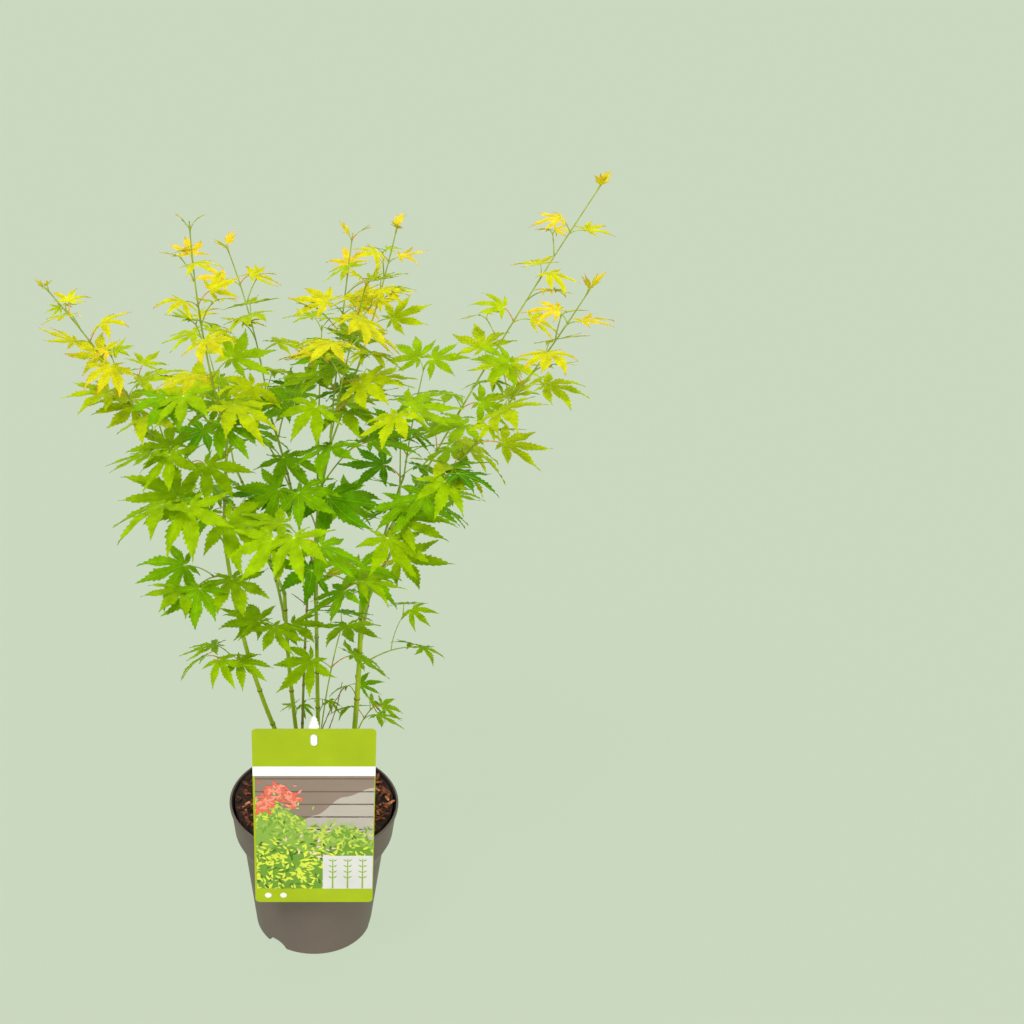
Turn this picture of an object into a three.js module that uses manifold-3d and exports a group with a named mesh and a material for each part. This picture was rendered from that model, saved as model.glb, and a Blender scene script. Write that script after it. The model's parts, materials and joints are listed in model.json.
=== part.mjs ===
// A potted Japanese maple: a clump of green canes in a nursery pot, with a label card on a holder.
// Millimetres, +Z up. The origin is the middle of the pot's flat underside, and the label faces -Y.
import * as THREE from "three";
import { mergeVertices } from "three/addons/utils/BufferGeometryUtils.js";
import Module from "manifold-3d";

const wasm = await Module();
wasm.setup();

// Pot and potting mix
const GAP = 0.3;
const POT_HEIGHT = 170;
const POT_WALL = 2.4;
const POT_FLOOR = 3;
const RIM_RADIUS = 95;
const LIP_DEPTH = 6;
const LIP_STEP = 1.4;
const COLLAR_TOP_RADIUS = 93;
const COLLAR_FOOT_RADIUS = 89.5;
const COLLAR_FOOT_Z = 134;
const BODY_TOP_RADIUS = 78.6;
const BODY_TOP_Z = 107;
const FOOT_RADIUS = 66.6;
const FOOT_ROUND = 5;
const POT_SEGMENTS = 40;
// The shoulder's outline as shares of its width and height
const SHOULDER = [
  [0, 0],
  [0.06, 0.12],
  [0.94, 0.88],
  [1, 1],
];
const SOIL_Z = 161;
const NOTCH_HEADINGS = [233, 353, 113];
const NOTCH_WIDTH = 22;
const NOTCH_HEIGHT = 10;
const NOTCH_DEPTH = 15;

// Label card and its holder
const CARD_WIDTH = 128.4;
const CARD_FOOT_Z = 100;
const CARD_TOP_Z = 340;
const CARD_THICKNESS = 0.8;
const CARD_CORNER = 5;
const CARD_LEAN = 3.5;
const SLOT_WIDTH = 8;
const SLOT_HEIGHT = 15;
const SLOT_BELOW_TOP = 14;
const HOLDER_WIDTH = 7;
const HOLDER_THICKNESS = 1.6;
const HOLDER_FOOT_Y = -83;
const HOLDER_HEAD_HEIGHT = 15;
const HOLDER_HEAD_WIDTH = 11;

// Stems
const CANE_SIDES = 6;
const BOUGH_SIDES = 5;
const TWIG_SIDES = 4;
const STEM_STEP = 45;
const LEAST_SPLAY = 0.01;
const TWIG_TIP_RADIUS = 0.75;

// Leaves: each lobe is [angle from the middle lobe, length as a share of the middle one, belly]
const OLD_LOBES = [
  [-130, 0.36, false],
  [-84, 0.7, false],
  [-40, 0.92, true],
  [0, 1, true],
  [40, 0.92, true],
  [84, 0.7, false],
  [130, 0.36, false],
];
const YOUNG_LOBES = [
  [-88, 0.55, false],
  [-42, 0.88, false],
  [0, 1, true],
  [42, 0.88, false],
  [88, 0.55, false],
];
const YOUNG_LENGTH = 40;
const LOBE_BELLY = 0.54;
const LOBE_HALF_WIDTH = 0.15;
const LEAF_CLEFT = 0.33;
const LEAF_BASE = 0.1;
const LEAF_SAG = 0.12;
const LAST_PAIR = 0.97;
const YOUNGEST_SHARE = 0.62;
const YOUNGEST_LIFT = 26;
const LEAF_THICKNESS = 0.03;
const PETIOLE_RADIUS = 0.75;
const STALK_FOOT_SHARE = 0.7;
const STALK_STAGGER = 0.9;
const PETIOLE_SHARE = 0.55;
const PETIOLE_RISE = 0.25;
const PETIOLE_LEAN = 0.52;
const LOW_DROOP = 20;
const DROOP_LOST_BY_TOP = 28;
const LEAF_SCALE = 0.95;
const DROOP_FROM_Z = 300;
const CROWN_DEPTH = 550;
const CLEARANCE = 0.35;
const LEAST_OPENING = 0.2;
const LEAF_TURNS = [0, 16, -16, 32, -32, 48, -48];

// Canes and boughs, each a tapering limb: where it starts, its heading and slope in degrees,
// its length, how far its middle bows upward, and its radius at foot and tip.
const LIMBS = [
  { name: "cane_left", x: 4, y: -8, heading: 199, slope: 75, length: 388, bow: -18, foot: 2.7, tip: 1.9 },
  { name: "cane_mid_left", x: -8, y: 8, heading: 170, slope: 85, length: 271, bow: -4, foot: 2.4, tip: 2 },
  { name: "cane_slim_left", from: "cane_mid_left", at: 0.16,
    heading: 77, slope: 81, length: 184, bow: 4, foot: 1.5, tip: 1.2 },
  { name: "cane_centre", x: 6, y: 4, heading: 145, slope: 89, length: 280, bow: 0, foot: 2.4, tip: 2 },
  { name: "cane_right", x: 36, y: -4, heading: 352, slope: 87, length: 271, bow: -3, foot: 3, tip: 2.5 },
  { name: "bough_left_upright", from: "cane_left", at: 1,
    heading: 295, slope: 82, length: 112, bow: 0, foot: 1.7, tip: 1.4 },
  { name: "bough_far_left", from: "cane_mid_left", at: 1,
    heading: 190, slope: 56, length: 239, bow: 15, foot: 1.8, tip: 1.4 },
  { name: "bough_mid_left", from: "cane_slim_left", at: 1,
    heading: 135, slope: 74, length: 206, bow: 10, foot: 1.2, tip: 1.2 },
  { name: "bough_centre", from: "cane_centre", at: 1,
    heading: 39, slope: 83, length: 165, bow: 8, foot: 1.9, tip: 1.5 },
  { name: "bough_right_back", from: "cane_right", at: 1,
    heading: 39, slope: 56, length: 146, bow: 10, foot: 1.9, tip: 1.5 },
  { name: "bough_right_front", from: "cane_right", at: 0.93,
    heading: 327, slope: 64, length: 182, bow: 6, foot: 1.9, tip: 1.5 },
  { name: "bough_back", from: "cane_centre", at: 0.86,
    heading: 89, slope: 50, length: 193, bow: 16, foot: 1.6, tip: 1.2 },
  { name: "bough_back_left", from: "cane_mid_left", at: 0.84,
    heading: 118, slope: 48, length: 177, bow: 16, foot: 1.6, tip: 1.2 },
  { name: "bough_back_right", from: "cane_right", at: 0.8,
    heading: 71, slope: 39, length: 194, bow: 16, foot: 1.6, tip: 1.2 },
  { name: "bough_front", from: "cane_centre", at: 0.7,
    heading: 267, slope: 58, length: 205, bow: 14, foot: 1.5, tip: 1.2 },
];

// Leafy shoots: the limb they grow from, their own stem in the same terms, then the pairs of leaves,
// the place of the first pair along the stem, the leaf length at foot and tip, and the seed.
const SHOOTS = [
  { name: "foliage_left_top", from: "bough_left_upright", at: 1, heading: 204, slope: 82, length: 223,
    bow: -6, foot: 1.4, pairs: 6, first: 0.1, leaf: [62, 27], seed: 15 },
  { name: "foliage_far_left", from: "bough_far_left", at: 1, heading: 192, slope: 60, length: 188,
    bow: 5, foot: 1.4, pairs: 6, first: 0.04, leaf: [60, 22], seed: 13 },
  { name: "foliage_mid_left_top", from: "bough_mid_left", at: 1, heading: 160, slope: 76, length: 183,
    bow: 6, foot: 1.1, pairs: 5, first: 0.1, leaf: [60, 29], seed: 4 },
  { name: "foliage_centre_top", from: "bough_centre", at: 1, heading: 13, slope: 74, length: 235,
    bow: -4, foot: 1.4, pairs: 7, first: 0.12, leaf: [60, 28], seed: 5 },
  { name: "foliage_centre_back_top", from: "bough_centre", at: 0.93, heading: 73, slope: 68, length: 206,
    bow: 4, foot: 1.2, pairs: 5, first: 0.22, leaf: [58, 36], seed: 32 },
  { name: "foliage_centre_front_top", from: "bough_centre", at: 0.85, heading: 297, slope: 70, length: 237,
    bow: 4, foot: 1.2, pairs: 5, first: 0.25, leaf: [58, 42], seed: 33 },
  { name: "foliage_right_back_top", from: "bough_right_back", at: 1, heading: 9, slope: 61, length: 354,
    bow: 4, foot: 1.4, pairs: 7, first: 0.08, leaf: [60, 32], seed: 17 },
  { name: "foliage_right_front_top", from: "bough_right_front", at: 1, heading: 352, slope: 58, length: 256,
    bow: -6, foot: 1.4, pairs: 7, first: 0.08, leaf: [62, 36], seed: 7 },
  { name: "foliage_left_front", from: "cane_left", at: 0.95, heading: 244, slope: 44, length: 110,
    bow: 8, foot: 1.1, pairs: 2, first: 0.5, leaf: [76, 66], seed: 24 },
  { name: "foliage_left_low", from: "cane_left", at: 0.84, heading: 242, slope: 22, length: 68,
    bow: 8, foot: 1.1, pairs: 2, first: 0.5, leaf: [62, 58], seed: 20 },
  { name: "foliage_left_foot", from: "cane_left", at: 0.6, heading: 236, slope: 25, length: 55,
    bow: 2, foot: 1, pairs: 2, first: 0.55, leaf: [42, 40], seed: 8 },
  { name: "foliage_left_spray", from: "bough_left_upright", at: 0.75, heading: 240, slope: 49, length: 115,
    bow: 10, foot: 1.1, pairs: 2, first: 0.4, leaf: [60, 50], seed: 27 },
  { name: "foliage_left_behind", from: "bough_far_left", at: 0.62, heading: 239, slope: 40, length: 102,
    bow: 8, foot: 1.1, pairs: 2, first: 0.5, leaf: [58, 52], seed: 24 },
  { name: "foliage_left_crest", from: "bough_far_left", at: 0.92, heading: 117, slope: 36, length: 81,
    bow: 6, foot: 1.1, pairs: 2, first: 0.35, leaf: [54, 44], seed: 23 },
  { name: "foliage_mid_left_low", from: "cane_mid_left", at: 0.8, heading: 256, slope: 38, length: 90,
    bow: 4, foot: 1, pairs: 2, first: 0.5, leaf: [48, 44], seed: 19 },
  { name: "foliage_front_bright", from: "bough_front", at: 1, heading: 249, slope: 38, length: 84,
    bow: 8, foot: 1.1, pairs: 2, first: 0.4, leaf: [58, 56], seed: 27 },
  { name: "foliage_front_right", from: "bough_front", at: 0.6, heading: 292, slope: 26, length: 100,
    bow: 8, foot: 1.1, pairs: 2, first: 0.4, leaf: [56, 52], seed: 7 },
  { name: "foliage_middle", from: "bough_centre", at: 0.42, heading: 246, slope: 48, length: 86,
    bow: 6, foot: 1.1, pairs: 2, first: 0.5, leaf: [66, 60], seed: 18 },
  { name: "foliage_centre_low", from: "cane_centre", at: 0.24, heading: 292, slope: 72, length: 203,
    bow: 6, foot: 1, pairs: 2, first: 0.6, leaf: [58, 52], seed: 38 },
  { name: "foliage_right_foot", from: "cane_right", at: 0.34, heading: 57, slope: 26, length: 39,
    bow: 4, foot: 1, pairs: 2, first: 0.5, leaf: [38, 36], seed: 24 },
  { name: "foliage_right_low", from: "cane_right", at: 0.88, heading: 287, slope: 60, length: 172,
    bow: 8, foot: 1.1, pairs: 2, first: 0.5, leaf: [64, 58], seed: 36 },
  { name: "foliage_right_outlier", from: "cane_right", at: 0.7, heading: 37, slope: -4, length: 74,
    bow: 6, foot: 1, pairs: 1, first: 0.7, leaf: [36, 34], seed: 24 },
  { name: "foliage_right_mid", from: "bough_right_front", at: 0.62, heading: 295, slope: 47, length: 120,
    bow: 8, foot: 1.1, pairs: 3, first: 0.35, leaf: [54, 46], seed: 28 },
  { name: "foliage_right_inner", from: "bough_right_back", at: 0.7, heading: 88, slope: 45, length: 79,
    bow: 8, foot: 1.1, pairs: 2, first: 0.35, leaf: [56, 48], seed: 28 },
  { name: "foliage_centre_right", from: "bough_centre", at: 0.72, heading: 306, slope: 45, length: 174,
    bow: 8, foot: 1.1, pairs: 2, first: 0.35, leaf: [58, 52], seed: 8 },
  { name: "foliage_centre_left", from: "bough_mid_left", at: 0.55, heading: 231, slope: 56, length: 158,
    bow: 8, foot: 1.1, pairs: 2, first: 0.35, leaf: [58, 52], seed: 26 },
  { name: "foliage_inner_back", from: "bough_mid_left", at: 0.85, heading: 345, slope: 67, length: 93,
    bow: 6, foot: 1.1, pairs: 2, first: 0.35, leaf: [56, 50], seed: 37 },
  { name: "foliage_back_top", from: "bough_back", at: 1, heading: 86, slope: 62, length: 118,
    bow: 6, foot: 1.2, pairs: 3, first: 0.15, leaf: [58, 46], seed: 5 },
  { name: "foliage_back_low", from: "bough_back", at: 0.55, heading: 84, slope: -26, length: 153,
    bow: 8, foot: 1.1, pairs: 3, first: 0.35, leaf: [56, 52], seed: 32 },
  { name: "foliage_back_left_top", from: "bough_back_left", at: 1, heading: 116, slope: 59, length: 139,
    bow: 6, foot: 1.2, pairs: 3, first: 0.15, leaf: [58, 44], seed: 9 },
  { name: "foliage_back_left_low", from: "bough_back_left", at: 0.55, heading: 120, slope: -8, length: 133,
    bow: 8, foot: 1.1, pairs: 3, first: 0.35, leaf: [56, 52], seed: 9 },
  { name: "foliage_back_right_top", from: "bough_back_right", at: 1, heading: 70, slope: 57, length: 124,
    bow: 6, foot: 1.2, pairs: 3, first: 0.15, leaf: [58, 44], seed: 7 },
  { name: "foliage_back_right_low", from: "bough_back_right", at: 0.55, heading: 64, slope: -4, length: 131,
    bow: 8, foot: 1.1, pairs: 3, first: 0.35, leaf: [56, 52], seed: 27 },
];

const COLOURS = {
  pot: 0x73665c,
  mix: 0x3a221a,
  card: 0xaac623,
  holder: 0xf0f0ea,
  cane: 0x7d962c,
  bough: 0x6f8a2a,
  lowLeaf: 0x4f9a14,
  topLeaf: 0xd8d81e,
};

function plastic(colour) {
  return new THREE.MeshStandardMaterial({ color: colour, roughness: 0.5, metalness: 0 });
}

function plantSkin(colour) {
  return new THREE.MeshStandardMaterial({ color: colour, roughness: 0.65, metalness: 0 });
}

function degrees(angle) {
  return THREE.MathUtils.degToRad(angle);
}

// A closed geometry as a solid, and back again
function solidOf(geometry) {
  const bare = new THREE.BufferGeometry();
  bare.setAttribute("position", geometry.getAttribute("position").clone());
  if (geometry.index) {
    bare.setIndex(geometry.index.clone());
  }
  const merged = mergeVertices(bare, 1e-4);
  return new wasm.Manifold(
    new wasm.Mesh({
      numProp: 3,
      vertProperties: merged.getAttribute("position").array,
      triVerts: new Uint32Array(merged.index.array),
    }),
  );
}

function geometryOf(solid) {
  const mesh = solid.getMesh();
  const corners = new Float32Array(mesh.triVerts.length * 3);
  mesh.triVerts.forEach((vertex, place) => {
    for (let axis = 0; axis < 3; axis += 1) {
      corners[place * 3 + axis] = mesh.vertProperties[vertex * mesh.numProp + axis];
    }
  });
  const geometry = new THREE.BufferGeometry();
  geometry.setAttribute("position", new THREE.BufferAttribute(corners, 3));
  geometry.computeVertexNormals();
  return geometry;
}

// The same number sequence everywhere: a Lehmer generator
function numbersFrom(seed) {
  let state = seed * 7919 + 17;
  function next() {
    state = (state * 16807) % 2147483647;
    return state / 2147483647;
  }
  for (let warmUp = 0; warmUp < 4; warmUp += 1) {
    next();
  }
  return (reach) => (next() * 2 - 1) * reach;
}

// Pot: a thin lathed shell with a deep collar, a rolled lip and arched drain notches round its foot

function potProfile() {
  const outer = [
    [0, 0],
    [FOOT_RADIUS - FOOT_ROUND, 0],
  ];
  for (let turn = 1; turn <= 3; turn += 1) {
    const angle = degrees(turn * 30);
    outer.push([
      FOOT_RADIUS - FOOT_ROUND * (1 - Math.sin(angle)),
      FOOT_ROUND * (1 - Math.cos(angle)),
    ]);
  }
  for (const [out, up] of SHOULDER) {
    outer.push([
      BODY_TOP_RADIUS + (COLLAR_FOOT_RADIUS - BODY_TOP_RADIUS) * out,
      BODY_TOP_Z + (COLLAR_FOOT_Z - BODY_TOP_Z) * up,
    ]);
  }
  outer.push([COLLAR_TOP_RADIUS, POT_HEIGHT - LIP_DEPTH]);
  outer.push([RIM_RADIUS, POT_HEIGHT - LIP_DEPTH + LIP_STEP]);
  outer.push([RIM_RADIUS, POT_HEIGHT - LIP_STEP]);
  outer.push([RIM_RADIUS - LIP_STEP, POT_HEIGHT]);
  const inner = [
    [COLLAR_TOP_RADIUS - POT_WALL, POT_HEIGHT],
    [COLLAR_FOOT_RADIUS - POT_WALL, COLLAR_FOOT_Z + POT_WALL],
    [BODY_TOP_RADIUS - POT_WALL, BODY_TOP_Z + POT_WALL],
    [FOOT_RADIUS - POT_WALL, POT_FLOOR + FOOT_ROUND],
    [FOOT_RADIUS - POT_WALL - FOOT_ROUND / 2, POT_FLOOR],
    [0, POT_FLOOR],
  ];
  return [...outer, ...inner].map(([radius, z]) => new THREE.Vector2(radius, z));
}

// A lathe turned from three.js's +Y axis to +Z
function lathed(profile) {
  return new THREE.LatheGeometry(profile, POT_SEGMENTS).rotateX(Math.PI / 2);
}

function notchCutter(heading) {
  const arch = new THREE.Shape();
  arch.moveTo(-NOTCH_WIDTH / 2, -1);
  arch.lineTo(NOTCH_WIDTH / 2, -1);
  arch.absellipse(0, 0, NOTCH_WIDTH / 2, NOTCH_HEIGHT, 0, Math.PI, false);
  arch.closePath();
  const cutter = new THREE.ExtrudeGeometry(arch, {
    depth: NOTCH_DEPTH,
    bevelEnabled: false,
    curveSegments: 6,
  });
  cutter.rotateX(Math.PI / 2);
  cutter.translate(0, NOTCH_DEPTH + FOOT_RADIUS - NOTCH_DEPTH / 2, 0);
  cutter.rotateZ(degrees(heading - 90));
  return solidOf(cutter);
}

function makePot() {
  let shell = solidOf(lathed(potProfile()));
  for (const heading of NOTCH_HEADINGS) {
    shell = shell.subtract(notchCutter(heading));
  }
  const pot = new THREE.Mesh(geometryOf(shell), plastic(COLOURS.pot));
  pot.name = "pot";
  return pot;
}

// Potting mix: one body that fills the pot and stops below its rim
function makePottingMix() {
  const inset = POT_WALL + GAP;
  const wallRise = (COLLAR_TOP_RADIUS - COLLAR_FOOT_RADIUS) / (POT_HEIGHT - COLLAR_FOOT_Z);
  const topRadius = COLLAR_FOOT_RADIUS + (SOIL_Z - COLLAR_FOOT_Z) * wallRise - inset - GAP;
  const profile = [
    [0, POT_FLOOR + GAP],
    [FOOT_RADIUS - inset - FOOT_ROUND, POT_FLOOR + GAP],
    [FOOT_RADIUS - inset - GAP, POT_FLOOR + FOOT_ROUND + 1],
    [BODY_TOP_RADIUS - inset - GAP, BODY_TOP_Z + POT_WALL],
    [COLLAR_FOOT_RADIUS - inset - GAP, COLLAR_FOOT_Z + POT_WALL + 1],
    [topRadius, SOIL_Z],
    [0, SOIL_Z],
  ];
  const mix = new THREE.Mesh(
    lathed(profile.map(([radius, z]) => new THREE.Vector2(radius, z))),
    plantSkin(COLOURS.mix),
  );
  mix.name = "potting_mix";
  return mix;
}

// Label card: a leaning rounded plate, just clear of the lip, with an upright slot for the holder

function roundedPlate(width, height, corner) {
  const shape = new THREE.Shape();
  const right = width / 2;
  shape.moveTo(-right + corner, 0);
  shape.lineTo(right - corner, 0);
  shape.absarc(right - corner, corner, corner, -Math.PI / 2, 0, false);
  shape.lineTo(right, height - corner);
  shape.absarc(right - corner, height - corner, corner, 0, Math.PI / 2, false);
  shape.lineTo(-right + corner, height);
  shape.absarc(-right + corner, height - corner, corner, Math.PI / 2, Math.PI, false);
  shape.lineTo(-right, corner);
  shape.absarc(-right + corner, corner, corner, Math.PI, Math.PI * 1.5, false);
  return shape;
}

function slotOutline(path, width, height, middle) {
  const radius = width / 2;
  const straight = height / 2 - radius;
  path.moveTo(radius, middle - straight);
  path.lineTo(radius, middle + straight);
  path.absarc(0, middle + straight, radius, 0, Math.PI, false);
  path.lineTo(-radius, middle - straight);
  path.absarc(0, middle - straight, radius, Math.PI, Math.PI * 2, false);
  return path;
}

const cardSlope = Math.tan(degrees(CARD_LEAN));
const cardLength = (CARD_TOP_Z - CARD_FOOT_Z) / Math.cos(degrees(CARD_LEAN));
const slotMiddle = cardLength - SLOT_BELOW_TOP;

// The card's middle plane touches the lip's front, a gap away
function cardPlaneY(z) {
  return -RIM_RADIUS - GAP - CARD_THICKNESS / 2 - (z - POT_HEIGHT) * cardSlope;
}

// Plates are drawn flat, as seen from the front, then stood up and leaned forward
function standPlate(shape, thickness, footY, footZ) {
  const plate = new THREE.ExtrudeGeometry(shape, {
    depth: thickness,
    bevelEnabled: false,
    curveSegments: 4,
  });
  plate.translate(0, 0, -thickness / 2);
  plate.rotateX(Math.PI / 2 + degrees(CARD_LEAN));
  plate.translate(0, footY, footZ);
  return plate;
}

function makeCard() {
  const shape = roundedPlate(CARD_WIDTH, cardLength, CARD_CORNER);
  shape.holes.push(slotOutline(new THREE.Path(), SLOT_WIDTH, SLOT_HEIGHT, slotMiddle));
  const card = new THREE.Mesh(
    standPlate(shape, CARD_THICKNESS, cardPlaneY(CARD_FOOT_Z), CARD_FOOT_Z),
    plastic(COLOURS.card),
  );
  card.name = "label_card";
  return card;
}

// Holder: a strip that rises from the potting mix behind the card, with a tongue through the slot
// and an arrow head above the card's top edge

function makeHolder() {
  const behindCard = CARD_THICKNESS / 2 + GAP + HOLDER_THICKNESS / 2;
  const headFootY = cardPlaneY(CARD_FOOT_Z) + behindCard;
  const half = HOLDER_WIDTH / 2;
  const backing = new THREE.Shape();
  const backingFoot = slotMiddle - SLOT_HEIGHT;
  const neck = cardLength - GAP;
  const shoulder = cardLength + HOLDER_HEAD_HEIGHT * 0.35;
  backing.moveTo(-half, backingFoot);
  backing.lineTo(half, backingFoot);
  backing.lineTo(half, neck);
  backing.lineTo(HOLDER_HEAD_WIDTH / 2, neck + 1);
  backing.lineTo(half, shoulder);
  backing.lineTo(1, cardLength + HOLDER_HEAD_HEIGHT);
  backing.lineTo(-1, cardLength + HOLDER_HEAD_HEIGHT);
  backing.lineTo(-half, shoulder);
  backing.lineTo(-HOLDER_HEAD_WIDTH / 2, neck + 1);
  backing.lineTo(-half, neck);
  const head = standPlate(backing, HOLDER_THICKNESS, headFootY, CARD_FOOT_Z);

  const tongueDepth = HOLDER_THICKNESS + CARD_THICKNESS + 2 * GAP;
  const tongueShape = slotOutline(
    new THREE.Shape(),
    SLOT_WIDTH - 4 * GAP,
    SLOT_HEIGHT - 4 * GAP,
    slotMiddle,
  );
  const tongueFootY = headFootY - tongueDepth / 2;
  const tongue = standPlate(tongueShape, tongueDepth, tongueFootY, CARD_FOOT_Z);

  const stripTop = new THREE.Vector3(0, headFootY - backingFoot * Math.sin(degrees(CARD_LEAN)), 0);
  stripTop.z = CARD_FOOT_Z + (backingFoot + half) * Math.cos(degrees(CARD_LEAN));
  const stripFoot = new THREE.Vector3(0, HOLDER_FOOT_Y, SOIL_Z + GAP);
  const section = new THREE.Shape();
  section.moveTo(-HOLDER_THICKNESS / 2, -half);
  section.lineTo(HOLDER_THICKNESS / 2, -half);
  section.lineTo(HOLDER_THICKNESS / 2, half);
  section.lineTo(-HOLDER_THICKNESS / 2, half);
  const rise = stripTop.clone().sub(stripFoot);
  const strip = new THREE.ExtrudeGeometry(section, { depth: rise.length(), bevelEnabled: false });
  strip.rotateZ(Math.PI / 2);
  strip.rotateX(Math.atan2(-rise.y, rise.z));
  strip.translate(0, stripFoot.y, stripFoot.z + HOLDER_THICKNESS / 2);

  const solid = solidOf(head).add(solidOf(tongue)).add(solidOf(strip));
  const holder = new THREE.Mesh(geometryOf(solid), plastic(COLOURS.holder));
  holder.name = "label_holder";
  return holder;
}

// Stems: each axis is a straight line bowed in its own upright plane

function directionOf(heading, slope) {
  const flat = Math.cos(degrees(slope));
  return new THREE.Vector3(
    flat * Math.cos(degrees(heading)),
    flat * Math.sin(degrees(heading)),
    Math.sin(degrees(slope)),
  );
}

class Stem {
  constructor(row, parent) {
    this.row = row;
    this.direction = directionOf(row.heading, row.slope);
    this.upward = directionOf(row.heading, row.slope + 90);
    this.tipRadius = row.tip ?? TWIG_TIP_RADIUS;
    this.start = parent
      ? parent.clearStart(row, this.tangent(0))
      : new THREE.Vector3(row.x, row.y, SOIL_Z + GAP);
  }

  point(share) {
    const bow = this.row.bow * 4 * share * (1 - share);
    return this.start
      .clone()
      .addScaledVector(this.direction, this.row.length * share)
      .addScaledVector(this.upward, bow);
  }

  tangent(share) {
    return this.direction
      .clone()
      .multiplyScalar(this.row.length)
      .addScaledVector(this.upward, this.row.bow * 4 * (1 - 2 * share))
      .normalize();
  }

  radius(share) {
    return this.row.foot + (this.tipRadius - this.row.foot) * share;
  }

  // Where a child's flat foot stands clear of this stem by the gap
  clearStart(child, way) {
    const along = Math.abs(this.tangent(child.at).dot(way));
    const across = Math.sqrt(Math.max(LEAST_SPLAY, 1 - along * along));
    const distance =
      child.at >= 1
        ? (GAP + child.foot * across) / along
        : (this.radius(child.at) + GAP + child.foot * along) / across;
    return this.point(child.at).addScaledVector(way, distance);
  }
}

// A closed tapering tube of rings round a list of points
function tubeGeometry(points, radii, sides) {
  const corners = [];
  const faces = [];
  const axis = points[points.length - 1].clone().sub(points[0]).normalize();
  const side = new THREE.Vector3(0, 0, 1).cross(axis);
  if (side.length() < 0.2) {
    side.set(1, 0, 0);
  }
  points.forEach((point, ring) => {
    const ahead = points[Math.min(ring + 1, points.length - 1)];
    const behind = points[Math.max(ring - 1, 0)];
    const along = ahead.clone().sub(behind).normalize();
    const first = side.clone().addScaledVector(along, -side.dot(along)).normalize();
    const second = along.clone().cross(first);
    for (let corner = 0; corner < sides; corner += 1) {
      const angle = (corner / sides) * Math.PI * 2;
      corners.push(
        point
          .clone()
          .addScaledVector(first, radii[ring] * Math.cos(angle))
          .addScaledVector(second, radii[ring] * Math.sin(angle)),
      );
    }
  });
  const lastRing = (points.length - 1) * sides;
  for (let ring = 0; ring < lastRing; ring += sides) {
    for (let corner = 0; corner < sides; corner += 1) {
      const next = (corner + 1) % sides;
      faces.push(ring + corner, ring + next, ring + sides + next);
      faces.push(ring + corner, ring + sides + next, ring + sides + corner);
    }
  }
  for (let corner = 1; corner < sides - 1; corner += 1) {
    faces.push(0, corner + 1, corner);
    faces.push(lastRing, lastRing + corner, lastRing + corner + 1);
  }
  return closedGeometry(corners, faces);
}

function closedGeometry(corners, faces) {
  const geometry = new THREE.BufferGeometry().setFromPoints(corners);
  geometry.setIndex(faces);
  geometry.computeVertexNormals();
  return geometry;
}

// The places of a stem's rings: even steps, and a ring wherever something grows from it
function ringShares(row) {
  const growths = SHOOTS.concat(LIMBS).filter((child) => child.from === row.name && child.at < 1);
  const nodes = [...growths.map((child) => child.at), ...pairShares(row)];
  const steps = Math.max(2, Math.round(row.length / STEM_STEP));
  const shares = [0, 1, ...nodes];
  for (let step = 1; step < steps; step += 1) {
    const share = step / steps;
    if (shares.every((other) => Math.abs(other - share) > 0.4 / steps)) {
      shares.push(share);
    }
  }
  return shares.sort((one, other) => one - other);
}

function stemGeometry(stem, sides) {
  const shares = ringShares(stem.row);
  const points = shares.map((share) => stem.point(share));
  const radii = shares.map((share) => stem.radius(share));
  const tube = tubeGeometry(points, radii, sides);
  if (!stem.row.from) {
    flattenFoot(tube, sides, stem.start.z);
  }
  return tube;
}

// A cane's first ring is cut level with the ground
function flattenFoot(tube, sides, z) {
  const corners = tube.getAttribute("position");
  for (let corner = 0; corner < sides; corner += 1) {
    corners.setZ(corner, z);
  }
}

// Leaves: opposite pairs along a shoot, each a thin seven-lobed blade on its stalk

function pairShares(row) {
  const pairs = row.pairs ?? 0;
  return Array.from({ length: pairs }, (_, pair) =>
    pairs > 1 ? row.first + ((LAST_PAIR - row.first) * pair) / (pairs - 1) : LAST_PAIR,
  );
}

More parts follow.
